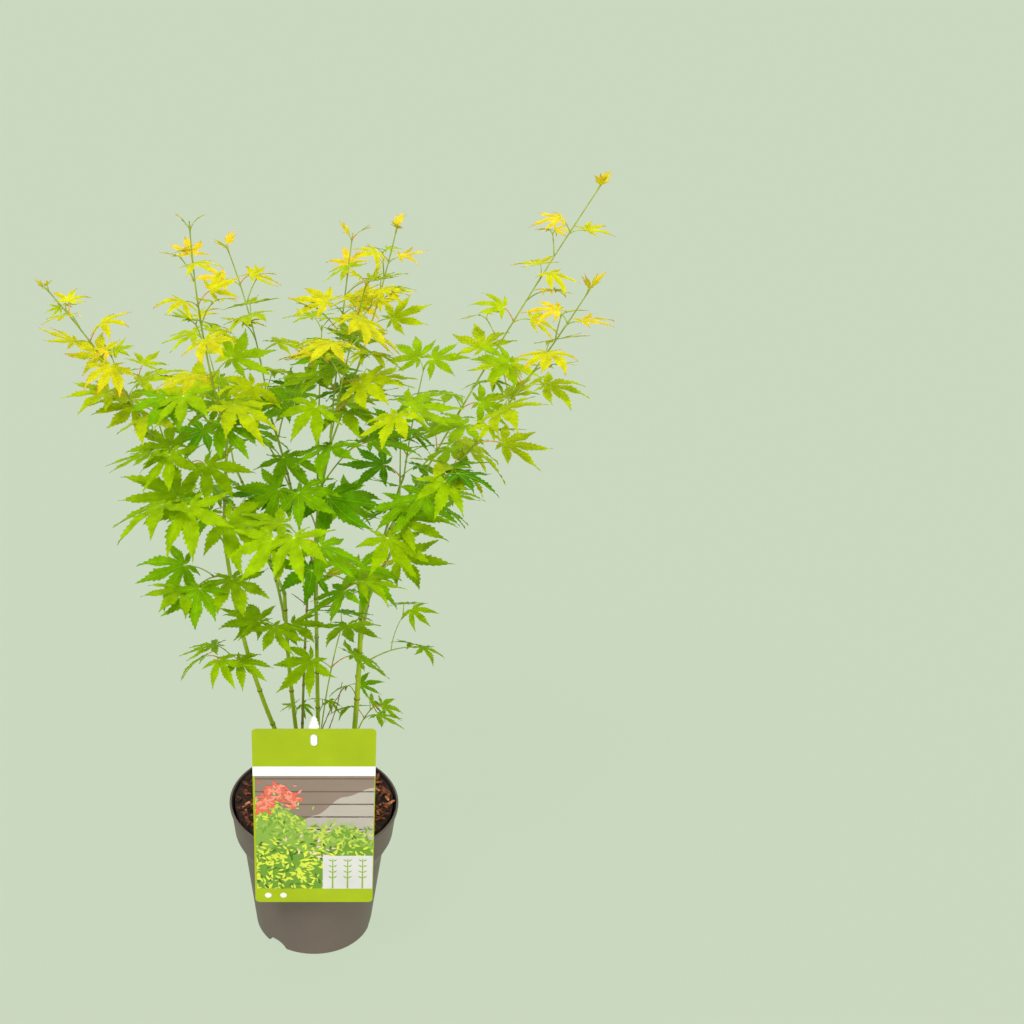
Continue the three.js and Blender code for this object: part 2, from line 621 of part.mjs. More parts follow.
function leafPairs(stem) {
  const { leaf, seed, heading } = stem.row;
  const spread = numbersFrom(seed);
  const side = directionOf(heading + 90, 0);
  const upright = new THREE.Vector3(0, 0, 1);
  const leaves = [];
  const shares = pairShares(stem.row);
  shares.forEach((share, pair) => {
    const isLast = pair === shares.length - 1;
    const isYoungest = isLast && shares.length > 3;
    const full = (leaf[0] + (leaf[1] - leaf[0]) * share) * LEAF_SCALE * (1 + spread(0.1));
    const length = full * (isYoungest ? YOUNGEST_SHARE : 1);
    const node = stem.point(share);
    const along = stem.tangent(share);
    const above = along.clone().cross(side).normalize();
    if (above.z < 0) {
      above.negate();
    }
    const steepness = THREE.MathUtils.clamp((Math.abs(along.z) - 0.55) / 0.3, 0, 1);
    const twist = degrees((pair % 2) * 90 * steepness + spread(22));
    for (const hand of [1, -1]) {
      const outward = side
        .clone()
        .multiplyScalar(hand * Math.cos(twist))
        .addScaledVector(above, hand * Math.sin(twist));
      const stalk = outward
        .clone()
        .addScaledVector(along, PETIOLE_LEAN * (isLast ? 2.1 : 1))
        .addScaledVector(upright, PETIOLE_RISE)
        .normalize();
      const stalkLength = length * (PETIOLE_SHARE + spread(0.1)) * (isLast ? 0.6 : 1);
      const level = new THREE.Vector3(stalk.x, stalk.y, 0);
      if (level.length() < 0.15) {
        level.copy(side).multiplyScalar(hand);
      }
      level.normalize();
      const height = THREE.MathUtils.clamp((node.z - DROOP_FROM_Z) / CROWN_DEPTH, 0, 1);
      leaves.push({
        root: node
          .clone()
          .addScaledVector(along, (isLast ? -1 : 1) * (STALK_STAGGER * (2 + hand)))
          .addScaledVector(outward, -0.2 * stem.radius(share)),
        length,
        level,
        centre: node.clone().addScaledVector(stalk, stalkLength),
        yaw: spread(25),
        droop: LOW_DROOP - DROOP_LOST_BY_TOP * height - (isYoungest ? YOUNGEST_LIFT : 0) + spread(14),
        roll: spread(20),
      });
    }
  });
  return leaves;
}

// The blade's own axes once it is turned, drooped and rolled
function bladeFrame(leaf, turn) {
  const upright = new THREE.Vector3(0, 0, 1);
  const level = leaf.level.clone().applyAxisAngle(upright, degrees(leaf.yaw + turn));
  const droop = degrees(leaf.droop);
  const forward = level
    .clone()
    .multiplyScalar(Math.cos(droop))
    .addScaledVector(upright, -Math.sin(droop));
  const across = level.clone().cross(upright).negate().applyAxisAngle(forward, degrees(leaf.roll));
  const normal = forward.clone().cross(across);
  return { forward, across, normal };
}

// A blade is a thin double fan over its lobed rim. With its stalk, the rim's base opens into a
// three-sided stalk that runs back to the node.
function leafGeometry(leaf, turn, grow, withStalk) {
  const { forward, across, normal } = bladeFrame(leaf, turn);
  const length = leaf.length + grow;
  const lobes = leaf.length < YOUNG_LENGTH ? YOUNG_LOBES : OLD_LOBES;
  function rim(angle, reach) {
    const turned = degrees(angle);
    return leaf.centre
      .clone()
      .addScaledVector(forward, length * reach * Math.cos(turned))
      .addScaledVector(across, length * reach * Math.sin(turned))
      .addScaledVector(normal, -length * LEAF_SAG * reach * reach);
  }
  const corners = [];
  const bellyTurn = THREE.MathUtils.radToDeg(Math.atan2(LOBE_HALF_WIDTH, LOBE_BELLY));
  lobes.forEach(([angle, reach, hasBelly], lobe) => {
    if (hasBelly) {
      corners.push(rim(angle - bellyTurn, reach * LOBE_BELLY));
    }
    corners.push(rim(angle, reach));
    if (hasBelly) {
      corners.push(rim(angle + bellyTurn, reach * LOBE_BELLY));
    }
    if (lobe < lobes.length - 1) {
      corners.push(rim((angle + lobes[lobe + 1][0]) / 2, LEAF_CLEFT));
    }
  });
  const base = rim(180, LEAF_BASE);
  const right = corners.length;
  corners.push(base.clone().addScaledVector(across, PETIOLE_RADIUS));
  corners.push(base.clone().addScaledVector(across, -PETIOLE_RADIUS));
  const left = right + 1;
  const half = (leaf.length * LEAF_THICKNESS) / 2 + grow;
  const top = corners.push(leaf.centre.clone().addScaledVector(normal, half)) - 1;
  const bottom = corners.push(leaf.centre.clone().addScaledVector(normal, -half)) - 1;
  const faces = [];
  for (let corner = 0; corner <= left; corner += 1) {
    const next = (corner + 1) % top;
    faces.push(corner, next, top);
    if (corner !== right || !withStalk) {
      faces.push(next, corner, bottom);
    }
  }
  if (withStalk) {
    const under = corners.push(base.clone().addScaledVector(normal, -1.6 * PETIOLE_RADIUS)) - 1;
    faces.push(under, right, bottom, left, under, bottom);
    const ring = [right, under, left];
    const way = base.clone().sub(leaf.root).normalize();
    const level = across.clone().addScaledVector(way, -across.dot(way)).normalize();
    const below = level.clone().cross(way);
    const foot = [
      [level, 1],
      [below, 1.4],
      [level, -1],
    ].map(([axis, share]) => {
      const reach = PETIOLE_RADIUS * STALK_FOOT_SHARE * share;
      return corners.push(leaf.root.clone().addScaledVector(axis, reach)) - 1;
    });
    for (let side = 0; side < 3; side += 1) {
      const next = (side + 1) % 3;
      faces.push(ring[side], ring[next], foot[next]);
      faces.push(ring[side], foot[next], foot[side]);
    }
    faces.push(foot[0], foot[1], foot[2]);
  }
  return closedGeometry(corners, faces);
}

// The room that a stalk needs, from its root to the base of the turned blade
function stalkGeometry(leaf, turn) {
  const { forward, normal } = bladeFrame(leaf, turn);
  const base = leaf.centre.clone().addScaledVector(forward, -leaf.length * LEAF_BASE);
  base.addScaledVector(normal, -PETIOLE_RADIUS / 2);
  const radius = PETIOLE_RADIUS + CLEARANCE;
  return tubeGeometry([leaf.root, base], [radius, radius], 4);
}

// Whatever a new leaf has to stay clear of, with the shoot it belongs to
const obstacles = [];

function addObstacle(solid, owner) {
  obstacles.push({ solid, owner, box: solid.boundingBox() });
}

function isClear(solid, ownShoot) {
  const box = solid.boundingBox();
  return obstacles.every((other) => {
    if (ownShoot && other.owner === ownShoot) {
      return true;
    }
    const apart = [0, 1, 2].some(
      (axis) => box.max[axis] < other.box.min[axis] || box.min[axis] > other.box.max[axis],
    );
    return apart || solid.intersect(other.solid).isEmpty();
  });
}

// The first turn of the leaf that touches nothing, or null where there is no room
function placeLeaf(leaf, name) {
  const stalkWay = leaf.centre.clone().sub(leaf.root).normalize();
  for (const turn of LEAF_TURNS) {
    if (bladeFrame(leaf, turn).forward.dot(stalkWay) < LEAST_OPENING) {
      continue;
    }
    const blade = solidOf(leafGeometry(leaf, turn, CLEARANCE, false));
    const stalk = solidOf(stalkGeometry(leaf, turn));
    if (isClear(blade, null) && isClear(stalk, name)) {
      addObstacle(blade, null);
      addObstacle(stalk, name);
      return solidOf(leafGeometry(leaf, turn, 0, true));
    }
  }
  return null;
}

// The largest body of a solid, without any loose scrap that a join leaves
function wholeBody(solid) {
  const bodies = solid.decompose();
  return bodies.reduce((largest, body) => (body.volume() > largest.volume() ? body : largest));
}

// The plant: limbs first, then every shoot's stem, then the leaves pair by pair up each shoot

function growPlant() {
  const stems = new Map();
  const meshes = [];
  for (const row of [...LIMBS, ...SHOOTS]) {
    stems.set(row.name, new Stem(row, stems.get(row.from)));
  }
  for (const row of LIMBS) {
    const isCane = row.name.startsWith("cane");
    const geometry = stemGeometry(stems.get(row.name), isCane ? CANE_SIDES : BOUGH_SIDES);
    const mesh = new THREE.Mesh(geometry, plantSkin(isCane ? COLOURS.cane : COLOURS.bough));
    mesh.name = row.name;
    meshes.push(mesh);
    addObstacle(solidOf(geometry), row.name);
  }
  const shoots = SHOOTS.map((row) => {
    const solid = solidOf(stemGeometry(stems.get(row.name), TWIG_SIDES));
    addObstacle(solid, row.name);
    return { row, solid, leaves: leafPairs(stems.get(row.name)) };
  });
  for (const shoot of shoots) {
    for (const leaf of shoot.leaves) {
      const placed = placeLeaf(leaf, shoot.row.name);
      if (placed) {
        shoot.solid = shoot.solid.add(placed);
      }
    }
    const height = stems.get(shoot.row.name).point(1).z / (DROOP_FROM_Z + CROWN_DEPTH);
    const colour = new THREE.Color(COLOURS.lowLeaf).lerp(
      new THREE.Color(COLOURS.topLeaf),
      THREE.MathUtils.clamp(height * 2 - 1, 0, 1),
    );
    const mesh = new THREE.Mesh(geometryOf(wholeBody(shoot.solid)), plantSkin(colour));
    mesh.name = shoot.row.name;
    meshes.push(mesh);
  }
  return meshes;
}

const plant = new THREE.Group();
plant.add(makePot(), makePottingMix(), makeCard(), makeHolder(), ...growPlant());

export default plant;
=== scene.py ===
import json
from math import cos, exp, hypot, pi, radians, sin, sqrt, tan

import bmesh
import bpy
import numpy as np
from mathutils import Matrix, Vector, noise

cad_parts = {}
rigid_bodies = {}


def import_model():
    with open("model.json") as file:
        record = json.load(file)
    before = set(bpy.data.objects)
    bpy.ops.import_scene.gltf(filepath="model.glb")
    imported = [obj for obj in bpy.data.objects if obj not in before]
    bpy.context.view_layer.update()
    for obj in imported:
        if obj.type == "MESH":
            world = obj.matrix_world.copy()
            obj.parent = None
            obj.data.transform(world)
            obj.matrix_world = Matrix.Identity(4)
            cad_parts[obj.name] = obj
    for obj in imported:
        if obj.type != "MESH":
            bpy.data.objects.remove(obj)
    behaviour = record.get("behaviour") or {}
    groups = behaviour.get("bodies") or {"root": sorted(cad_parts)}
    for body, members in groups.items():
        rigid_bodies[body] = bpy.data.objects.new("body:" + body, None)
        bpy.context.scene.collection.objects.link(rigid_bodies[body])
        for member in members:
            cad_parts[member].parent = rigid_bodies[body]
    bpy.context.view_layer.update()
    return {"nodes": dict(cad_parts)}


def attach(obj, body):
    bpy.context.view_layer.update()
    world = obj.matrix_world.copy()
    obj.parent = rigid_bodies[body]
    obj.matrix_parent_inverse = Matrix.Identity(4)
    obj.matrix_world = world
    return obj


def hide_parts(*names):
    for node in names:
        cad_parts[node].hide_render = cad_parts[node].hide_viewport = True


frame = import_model()

MM = 0.001
PICTURE_SIZE = 1024
NOISE_ROUGHNESS = 0.55

# Camera, worked out from the ellipses of the pot's rim and foot
CAMERA_BACK = 1589
CAMERA_HEIGHT = 1377
CAMERA_PITCH = 27.9
FOCAL_PIXELS = 1750
PRINCIPAL_X = 314
SENSOR = 36

# Pot and potting mix
GAP = 0.3
POT_HEIGHT = 170
POT_WALL = 2.4
POT_FLOOR = 3
RIM_RADIUS = 95
LIP_DEPTH = 6
LIP_STEP = 1.4
THIN_LIP = 2.4
LIP_ROUND = 0.5
COLLAR_TOP_RADIUS = 93
COLLAR_FOOT_RADIUS = 89.5
COLLAR_FOOT_Z = 134
BODY_TOP_RADIUS = 78.6
BODY_TOP_Z = 107
# The shoulder's outline as shares of its width and height
SHOULDER = [(0, 0), (0.02, 0.06), (0.07, 0.13), (0.5, 0.5), (0.93, 0.87), (0.98, 0.94), (1, 1)]
FOOT_RADIUS = 66.6
FOOT_ROUND = 5
SOIL_Z = 161
NOTCH_HEADINGS = [230, 350, 110]
NOTCH_WIDTH = 27
NOTCH_HEIGHT = 11.5
NOTCH_DEPTH = 46
NOTCH_SUNK = 1
POT_SEGMENTS = 160
POT_COLOUR = (104, 90, 82)
# Thickness of the near-black skin of painted shade laid on the inside of the pot's wall
SHADE_SKIN_THICKNESS = 0.12
SOIL_RINGS = 44
SOIL_SEGMENTS = 150
SOIL_ROUGHNESS = 3.2
SOIL_EDGE_RISE = 7
SOIL_EDGE_FROM = 55
SOIL_EDGE_REACH = 24
LUMP_SIZE = 14
CRUMB_SIZE = 5

# Bark chips on the mix: how many, their spans of size and rise, and their spread of tilt and roll
CHIP_COUNT = 900
CHIP_LENGTHS = (4, 13)
CHIP_WIDTHS = (2, 5)
CHIP_HEIGHTS = (0.8, 2.4)
CHIP_RISE = (0, 1.4)
CHIP_TILT = 16
CHIP_ROLL = 24
CHIP_MARGIN = 3.5
LARGE_CHIP_PLACE = (-72, -6, SOIL_Z + 5)
LARGE_CHIP_SIZE = (9, 6, 2.4)
# Chip tones: name, colour and share
CHIP_TONES = [
    ("chips_dark", (60, 30, 18), 0.26),
    ("chips_brown", (112, 60, 34), 0.36),
    ("chips_red", (150, 80, 42), 0.26),
    ("chips_pale", (186, 124, 80), 0.1),
    ("chips_orange", (226, 104, 22), 0.004),
]

# Label card and its holder
CARD_WIDTH = 128.4
CARD_FOOT_Z = 100
CARD_TOP_Z = 340
CARD_THICKNESS = 0.8
CARD_CORNER = 5
CARD_LEAN = 3.5
SLOT_WIDTH = 8
SLOT_HEIGHT = 15
SLOT_BELOW_TOP = 14
HOLDER_THICKNESS = 1.6
# One side of the barbed holder top, as points across and above the card's top edge
BARB_EDGE = [(3.4, -2), (3.4, 1.5), (5.4, 3), (3.2, 6), (4.6, 7), (2.4, 10), (3.4, 11), (0.9, 15)]

# Card print: a white band above a picture, placed by shares of the card's length and by millimetres
PRINT_LIFT = 0.05
BAND_LOW = 0.742
BAND_TOP = 0.795
PICTURE_LOW = 0.084
PICTURE_LEFT_MARGIN = 2.2
PICTURE_RIGHT_MARGIN = 0.8
BOARD_HEIGHTS = [0.97, 0.86, 0.75, 0.64, 0.53]
BOARD_JOINT = 0.012
# Slopes in the picture: name, colour, level, foot, and heights of the top spaced evenly across it
PRINT_HILLS = [
    ("print_paving", (192, 182, 170), 1.5, 0.3, [0.42, 0.5, 0.66, 0.82, 0.9]),
    ("print_far_hedge", (142, 178, 70), 2, 0, [0.78, 0.7, 0.5, 0.56, 0.44]),
    ("print_near_hedge", (112, 156, 50), 2.5, 0, [0.34, 0.4, 0.3, 0.42, 0.36]),
]
# Crowds of leaf marks: each has its middle and its reach, across and up, as shares of the picture
FAR_CROWDS = [(0.1, 0.7, 0.08, 0.06), (0.3, 0.58, 0.1, 0.07), (0.6, 0.5, 0.12, 0.05), (0.85, 0.46, 0.1, 0.05)]
NEAR_CROWDS = [
    (0.15, 0.25, 0.12, 0.11),
    (0.45, 0.24, 0.14, 0.1),
    (0.8, 0.24, 0.14, 0.11),
    (0.3, 0.08, 0.18, 0.06),
]
BLOSSOM_CROWDS = [(0.16, 0.86, 0.055, 0.035), (0.3, 0.8, 0.05, 0.035), (0.08, 0.76, 0.04, 0.03)]
PETAL_CROWDS = [(0.56, 0.36, 0.16, 0.08)]
# Leaf marks: name, colour, level, how many, their crowds and their length
PRINT_MARKS = [
    ("print_leaves_far", (168, 200, 84), 3, 210, FAR_CROWDS, 3.6),
    ("print_leaves_mid", (118, 164, 48), 4, 200, FAR_CROWDS + NEAR_CROWDS, 3.8),
    ("print_leaves_light", (204, 222, 84), 5, 190, FAR_CROWDS + NEAR_CROWDS, 3.6),
    ("print_leaves_deep", (74, 116, 34), 6, 90, NEAR_CROWDS, 3.6),
    ("print_leaves_lime", (220, 232, 72), 7, 170, NEAR_CROWDS, 3.8),
    ("print_coral", (238, 112, 88), 8, 110, BLOSSOM_CROWDS, 4.6),
    ("print_coral_light", (248, 156, 132), 9, 50, BLOSSOM_CROWDS, 3.6),
    ("print_pink", (246, 206, 200), 9.5, 14, PETAL_CROWDS, 3),
]
# A leaf mark's outline, along and aside as shares of its half length
MARK_OUTLINE = [(-1, 0), (-0.4, 0.34), (0.2, 0.3), (1, 0), (0.2, -0.3), (-0.4, -0.34)]
# The inset with cane motifs in the picture's right foot corner, then two pale rounds below the picture
INSET_LEFT = 0.57
INSET_TOP = 0.3
MOTIF_PLACES = [0.2, 0.5, 0.8]
MOTIF_PAIRS = [0.3, 0.5, 0.7, 0.9]
ROUND_PLACES = [-0.78, -0.52]
ROUND_HEIGHT = 0.042
ROUND_RADIUS = 3.6

# Leaves: each lobe is its angle from the middle lobe and its length as a share of the middle one
OLD_LOBES = [(-130, 0.36), (-84, 0.7), (-40, 0.92), (0, 1), (40, 0.92), (84, 0.7), (130, 0.36)]
YOUNG_LOBES = [(-88, 0.55), (-42, 0.88), (0, 1), (42, 0.88), (88, 0.55)]
YOUNG_LENGTH = 40
# Columns of a lobe's grid as shares of its half width, plain and with an orange margin
PLAIN_COLUMNS = [-1, -0.5, 0, 0.5, 1]
EDGED_COLUMNS = [-1, -0.8, 0, 0.8, 1]
LEAF_CLEFT = 0.25
LOBE_WIDTH = 0.132
LOBE_BELLY = 0.36
TEETH = 7
TOOTH_OUT = 0.17
TOOTH_IN = 0.08
OUTER_LOBE_GAP = 64
YOUNG_NARROWNESS = 0.82
TIP_DRAW = 1.6
LEAST_HALF_WIDTH = 0.0015
# Blade relief: least and greatest curl, fold and dip, and the spread of lobe length and sway
CURLS = (0.05, 0.42)
FOLDS = (0.06, 0.3)
DIPS = (-0.25, 0.3)
LOBE_LENGTH_SPREAD = 0.06
LOBE_SWAY = 13
RIPPLE = 0.012
# The last pair on a shoot, and its smaller youngest leaves where the shoot is long
LAST_PAIR = 0.97
LAST_STALK_LEAN = 2.1
LAST_STALK_SHARE = 0.6
YOUNGEST_SHARE = 0.62
YOUNGEST_LIFT = 26
YOUNGEST_FAN = 0.5
YOUNGEST_FOLD = 24
# Petioles, with shares of the leaf's length
PETIOLE_RADIUS = 0.62
STALK_STAGGER = 0.9
PETIOLE_SHARE = 0.55
PETIOLE_RISE = 0.25
PETIOLE_LEAN = 0.52
PETIOLE_ARCH = 0.12
PETIOLE_FOOT_SWELL = 1.5
PETIOLE_TAPER = 0.25
RED_STALK_EVERY = 3

# How leaves hang: angles in degrees, and spreads as the most that a draw adds or takes away
LOW_DROOP = 20
DROOP_LOST_BY_TOP = 28
LEAF_SCALE = 0.91
DROOP_FROM_Z = 300
CROWN_DEPTH = 550
YAW_SPREAD = 25
DROOP_SPREAD = 20
ROLL_SPREAD = 26
TWIST_SPREAD = 22
# On steep shoots every other pair is turned crosswise: from what rise on, and over what span
STEEP_FROM = 0.55
STEEP_SPAN = 0.3
LENGTH_SPREAD = 0.1
LEAF_TURNS = [0, 16, -16, 32, -32, 48, -48]
LEAF_ROOM = 9

# Bark and twigs
TWIG_TIP_RADIUS = 0.75
SHOOT_THICKNESS = 0.8
LEAST_SPLAY = 0.01
SUNK_SHARE = 0.9
CANE_NODE_STEP = 46
FIRST_NODE = 0.6
LAST_NODE = 0.97
NODE_CROWDING = 0.92
NODE_SWELL = 0.2
NODE_REACH = 1.7
COLLAR_SWELL = 0.3
COLLAR_REACH = 5
BARK_STEP = 3
TWIG_CROOK = 0.35
TWIG_UNEVENNESS = 0.18
SHOOT_STEP = 6
SHOOT_NODE_SWELL = 0.35
SHOOT_NODE_REACH = 2.5
SCAR_WIDTH = 1.6
# Bark relief: the pattern's size round the limb, its length along the limb, and its depth
BARK_RELIEF = [(2.4, 26, 0.05), (6, 5, 0.025)]
LIMB_SIDES = {"cane": 20, "bough": 16}
# Dark and light streaks of the bark
LIMB_COLOURS = {
    "cane": ((134, 162, 6), (174, 196, 22)),
    "slim": ((104, 108, 30), (140, 150, 44)),
    "bough": ((114, 136, 30), (156, 178, 50)),
}

# Side twigs on the longer shoots
SIDE_TWIG_PAIRS = 5
SIDE_TWIG_FROM = 1
SIDE_TWIG_SPLAY = 55
SIDE_TWIG_FAN = 25
SIDE_TWIG_FALL = 28
SIDE_TWIG_SHARE = 0.7
SIDE_LEAF_SHARE = 0.5

# Stems: each has a name, its parent and the share along the parent where it starts, its heading and
# slope in degrees, its length, how far its middle bows upward, and its radius at foot and tip.
STEM_FIELDS = "name parent at heading slope length bow foot tip"

# Canes and boughs. A cane without a parent starts at a place in the mix, given as x and y.
LIMBS = [
    ("cane_left", None, (4, -8), 199, 75, 388, -18, 2.7, 1.9),
    ("cane_mid_left", None, (-8, 8), 170, 85, 271, -4, 2.4, 2),
    ("cane_slim_left", "cane_mid_left", 0.16, 77, 81, 184, 4, 1.5, 1.2),
    ("cane_centre", None, (6, 4), 145, 89, 280, 0, 2.4, 2),
    ("cane_right", None, (36, -4), 352, 87, 271, -3, 3, 2.5),
    ("bough_left_upright", "cane_left", 1, 295, 82, 112, 0, 1.7, 1.4),
    ("bough_far_left", "cane_mid_left", 1, 190, 56, 239, 15, 1.8, 1.4),
    ("bough_mid_left", "cane_slim_left", 1, 135, 74, 206, 10, 1.2, 1.2),
    ("bough_centre", "cane_centre", 1, 39, 83, 165, 8, 1.9, 1.5),
    ("bough_right_back", "cane_right", 1, 39, 56, 146, 10, 1.9, 1.5),
    ("bough_right_front", "cane_right", 0.93, 327, 64, 182, 6, 1.9, 1.5),
    ("bough_back", "cane_centre", 0.86, 89, 50, 193, 16, 1.6, 1.2),
    ("bough_back_left", "cane_mid_left", 0.84, 118, 48, 177, 16, 1.6, 1.2),
    ("bough_back_right", "cane_right", 0.8, 71, 39, 194, 16, 1.6, 1.2),
    ("bough_front", "cane_centre", 0.7, 267, 58, 205, 14, 1.5, 1.2),
]

# Bare twigs low in the plant: forked dead ends and slim reddish lengths between the canes
BARE_TWIGS = [
    ("twig_left", "cane_slim_left", 0.93, 180, 42, 20, 1, 0.7, 0.4),
    ("twig_cross", "cane_slim_left", 0.9, 356, 14, 28, 1, 0.8, 0.6),
    ("twig_fork", "twig_cross", 0.95, 350, 70, 20, 1, 0.55, 0.35),
    ("twig_reach", "twig_cross", 0.8, 4, 40, 36, -2, 0.55, 0.35),
    ("twig_end", "twig_reach", 0.5, 352, 18, 16, 1, 0.45, 0.3),
    ("twig_slim", "cane_centre", 0.26, 330, 74, 96, -3, 0.7, 0.4),
    ("twig_slimmer", "cane_centre", 0.3, 318, 66, 88, 3, 0.6, 0.4),
    ("twig_red", "cane_left", 0.72, 20, 72, 52, 2, 0.6, 0.35),
    ("twig_red_fork", "twig_red", 0.55, 190, 58, 15, 1, 0.4, 0.3),
]

# Leafy sprigs too small for the solids: a stem, its pairs of leaves, the leaf lengths and the seed
SPRIG_FIELDS = STEM_FIELDS + " pairs leaf seed"
SPRIGS = [
    ("sprig_right_foot", "cane_right", 0.5, 97, 42, 11, 1, 0.8, 0.6, 1, (31, 31), 12),
    ("sprig_centre_foot", "cane_centre", 0.42, 60, 30, 12, 1, 0.7, 0.5, 1, (22, 22), 6),
    ("sprig_mid_foot", "cane_mid_left", 0.4, 80, 20, 14, 1, 0.7, 0.5, 1, (22, 22), 9),
    ("sprig_outlier", "foliage_right_outlier", 0.55, 40, 64, 44, 4, 0.7, 0.5, 1, (40, 40), 3),
]

# Leafy shoots, one to each mass of foliage: a stem without its tip radius, the pairs of leaves, the
# place of the first pair, the leaf length at foot and tip, the seed, and the leaf tones at foot and tip.
MASS_PREFIX = "foliage_"
SHOOT_FIELDS = "name parent at heading slope length bow foot pairs first leaf seed tones"
SHOOTS = [
    ("left_top", "bough_left_upright", 1, 204, 82, 223, -6, 1.4, 6, 0.1, (62, 27), 15, (3.7, 5.9)),
    ("far_left", "bough_far_left", 1, 192, 60, 188, 5, 1.4, 6, 0.04, (60, 22), 13, (4, 5.7)),
    ("mid_left_top", "bough_mid_left", 1, 160, 76, 183, 6, 1.1, 5, 0.1, (60, 29), 4, (3.7, 5.7)),
    ("centre_top", "bough_centre", 1, 13, 74, 235, -4, 1.4, 7, 0.12, (60, 28), 5, (3.1, 5.9)),
    ("centre_back_top", "bough_centre", 0.93, 73, 68, 206, 4, 1.2, 5, 0.22, (58, 36), 32, (3, 5.8)),
    ("centre_front_top", "bough_centre", 0.85, 297, 70, 237, 4, 1.2, 5, 0.25, (58, 42), 33, (3.4, 5.4)),
    ("right_back_top", "bough_right_back", 1, 9, 61, 354, 4, 1.4, 7, 0.08, (60, 32), 17, (3.1, 6)),
    ("right_front_top", "bough_right_front", 1, 352, 58, 256, -6, 1.4, 7, 0.08, (62, 36), 7, (3.6, 5.7)),
    ("left_front", "cane_left", 0.95, 244, 44, 110, 8, 1.1, 2, 0.5, (76, 66), 24, (2.1, 2.8)),
    ("left_low", "cane_left", 0.84, 242, 22, 68, 8, 1.1, 2, 0.5, (62, 58), 20, (2.8, 3.2)),
    ("left_foot", "cane_left", 0.6, 236, 25, 55, 2, 1, 2, 0.55, (42, 40), 8, (3.2, 3.6)),
    ("left_spray", "bough_left_upright", 0.75, 240, 49, 115, 10, 1.1, 2, 0.4, (60, 50), 27, (1.8, 2.4)),
    ("left_behind", "bough_far_left", 0.62, 239, 40, 102, 8, 1.1, 2, 0.5, (58, 52), 24, (2.6, 3.4)),
    ("left_crest", "bough_far_left", 0.92, 117, 36, 81, 6, 1.1, 2, 0.35, (54, 44), 23, (3.9, 4.8)),
    ("mid_left_low", "cane_mid_left", 0.8, 256, 38, 90, 4, 1, 2, 0.5, (48, 44), 19, (2.8, 3.2)),
    ("front_bright", "bough_front", 1, 249, 38, 84, 8, 1.1, 2, 0.4, (58, 56), 27, (2, 2.8)),
    ("front_right", "bough_front", 0.6, 292, 26, 100, 8, 1.1, 2, 0.4, (56, 52), 7, (1.6, 2.4)),
    ("middle", "bough_centre", 0.42, 246, 48, 86, 6, 1.1, 2, 0.5, (66, 60), 18, (0.9, 1.8)),
    ("centre_low", "cane_centre", 0.24, 292, 72, 203, 6, 1, 2, 0.6, (58, 52), 38, (2.8, 3.2)),
    ("right_foot", "cane_right", 0.34, 57, 26, 39, 4, 1, 2, 0.5, (38, 36), 24, (3, 3.4)),
    ("right_low", "cane_right", 0.88, 287, 60, 172, 8, 1.1, 2, 0.5, (64, 58), 36, (2.8, 3.2)),
    ("right_outlier", "cane_right", 0.7, 37, -4, 74, 6, 1, 1, 0.7, (36, 34), 24, (2.6, 3)),
    ("right_mid", "bough_right_front", 0.62, 295, 47, 120, 8, 1.1, 3, 0.35, (54, 46), 28, (1.8, 2.8)),
    ("right_inner", "bough_right_back", 0.7, 88, 45, 79, 8, 1.1, 2, 0.35, (56, 48), 28, (1.4, 2.2)),
    ("centre_right", "bough_centre", 0.72, 306, 45, 174, 8, 1.1, 2, 0.35, (58, 52), 8, (2.2, 3.4)),
    ("centre_left", "bough_mid_left", 0.55, 231, 56, 158, 8, 1.1, 2, 0.35, (58, 52), 26, (2.2, 3.4)),
    ("inner_back", "bough_mid_left", 0.85, 345, 67, 93, 6, 1.1, 2, 0.35, (56, 50), 37, (1.6, 2.4)),
    ("back_top", "bough_back", 1, 86, 62, 118, 6, 1.2, 3, 0.15, (58, 46), 5, (1.6, 4)),
    ("back_low", "bough_back", 0.55, 84, -26, 153, 8, 1.1, 3, 0.35, (56, 52), 32, (1, 2.4)),
    ("back_left_top", "bough_back_left", 1, 116, 59, 139, 6, 1.2, 3, 0.15, (58, 44), 9, (1.6, 4.4)),
    ("back_left_low", "bough_back_left", 0.55, 120, -8, 133, 8, 1.1, 3, 0.35, (56, 52), 9, (1.2, 2.8)),
    ("back_right_top", "bough_back_right", 1, 70, 57, 124, 6, 1.2, 3, 0.15, (58, 44), 7, (1.6, 4.4)),
    ("back_right_low", "bough_back_right", 0.55, 64, -4, 131, 8, 1.1, 3, 0.35, (56, 52), 27, (1.2, 2.8)),
]

# Leaf tones from the deepest green up: name, the record's slot, and the leaf's plain colour
LEAF_TONES = [
    ("leaves_deep", "leaf_deep", (72, 135, 0)),
    ("leaves_green", "leaf_green", (94, 154, 0)),
    ("leaves_fresh", "leaf_green", (119, 170, 0)),
    ("leaves_light", "leaf_lime", (146, 183, 0)),
    ("leaves_lime", "leaf_lime", (180, 199, 4)),
    ("leaves_yellow", "leaf_yellow", (214, 209, 22)),
    ("leaves_gold", "leaf_yellow", (236, 207, 42)),
]
SPRIG_TONE = 3
TONE_EASE = 1.2
# Leaves from this tone on have orange margins
EDGED_TONE = 5
MARGIN_STATIONS = (3, 8)
# How widely the tones are dealt low and high in the crown, and the last tone allowed below each height
LOW_TONE_SPREAD = 0.45
TOP_TONE_SPREAD = 0.65
LOW_TONE_LIMIT = 3
LIME_FROM_Z = 620
MIDDLE_TONE_LIMIT = 4
GOLD_FROM_Z = 694
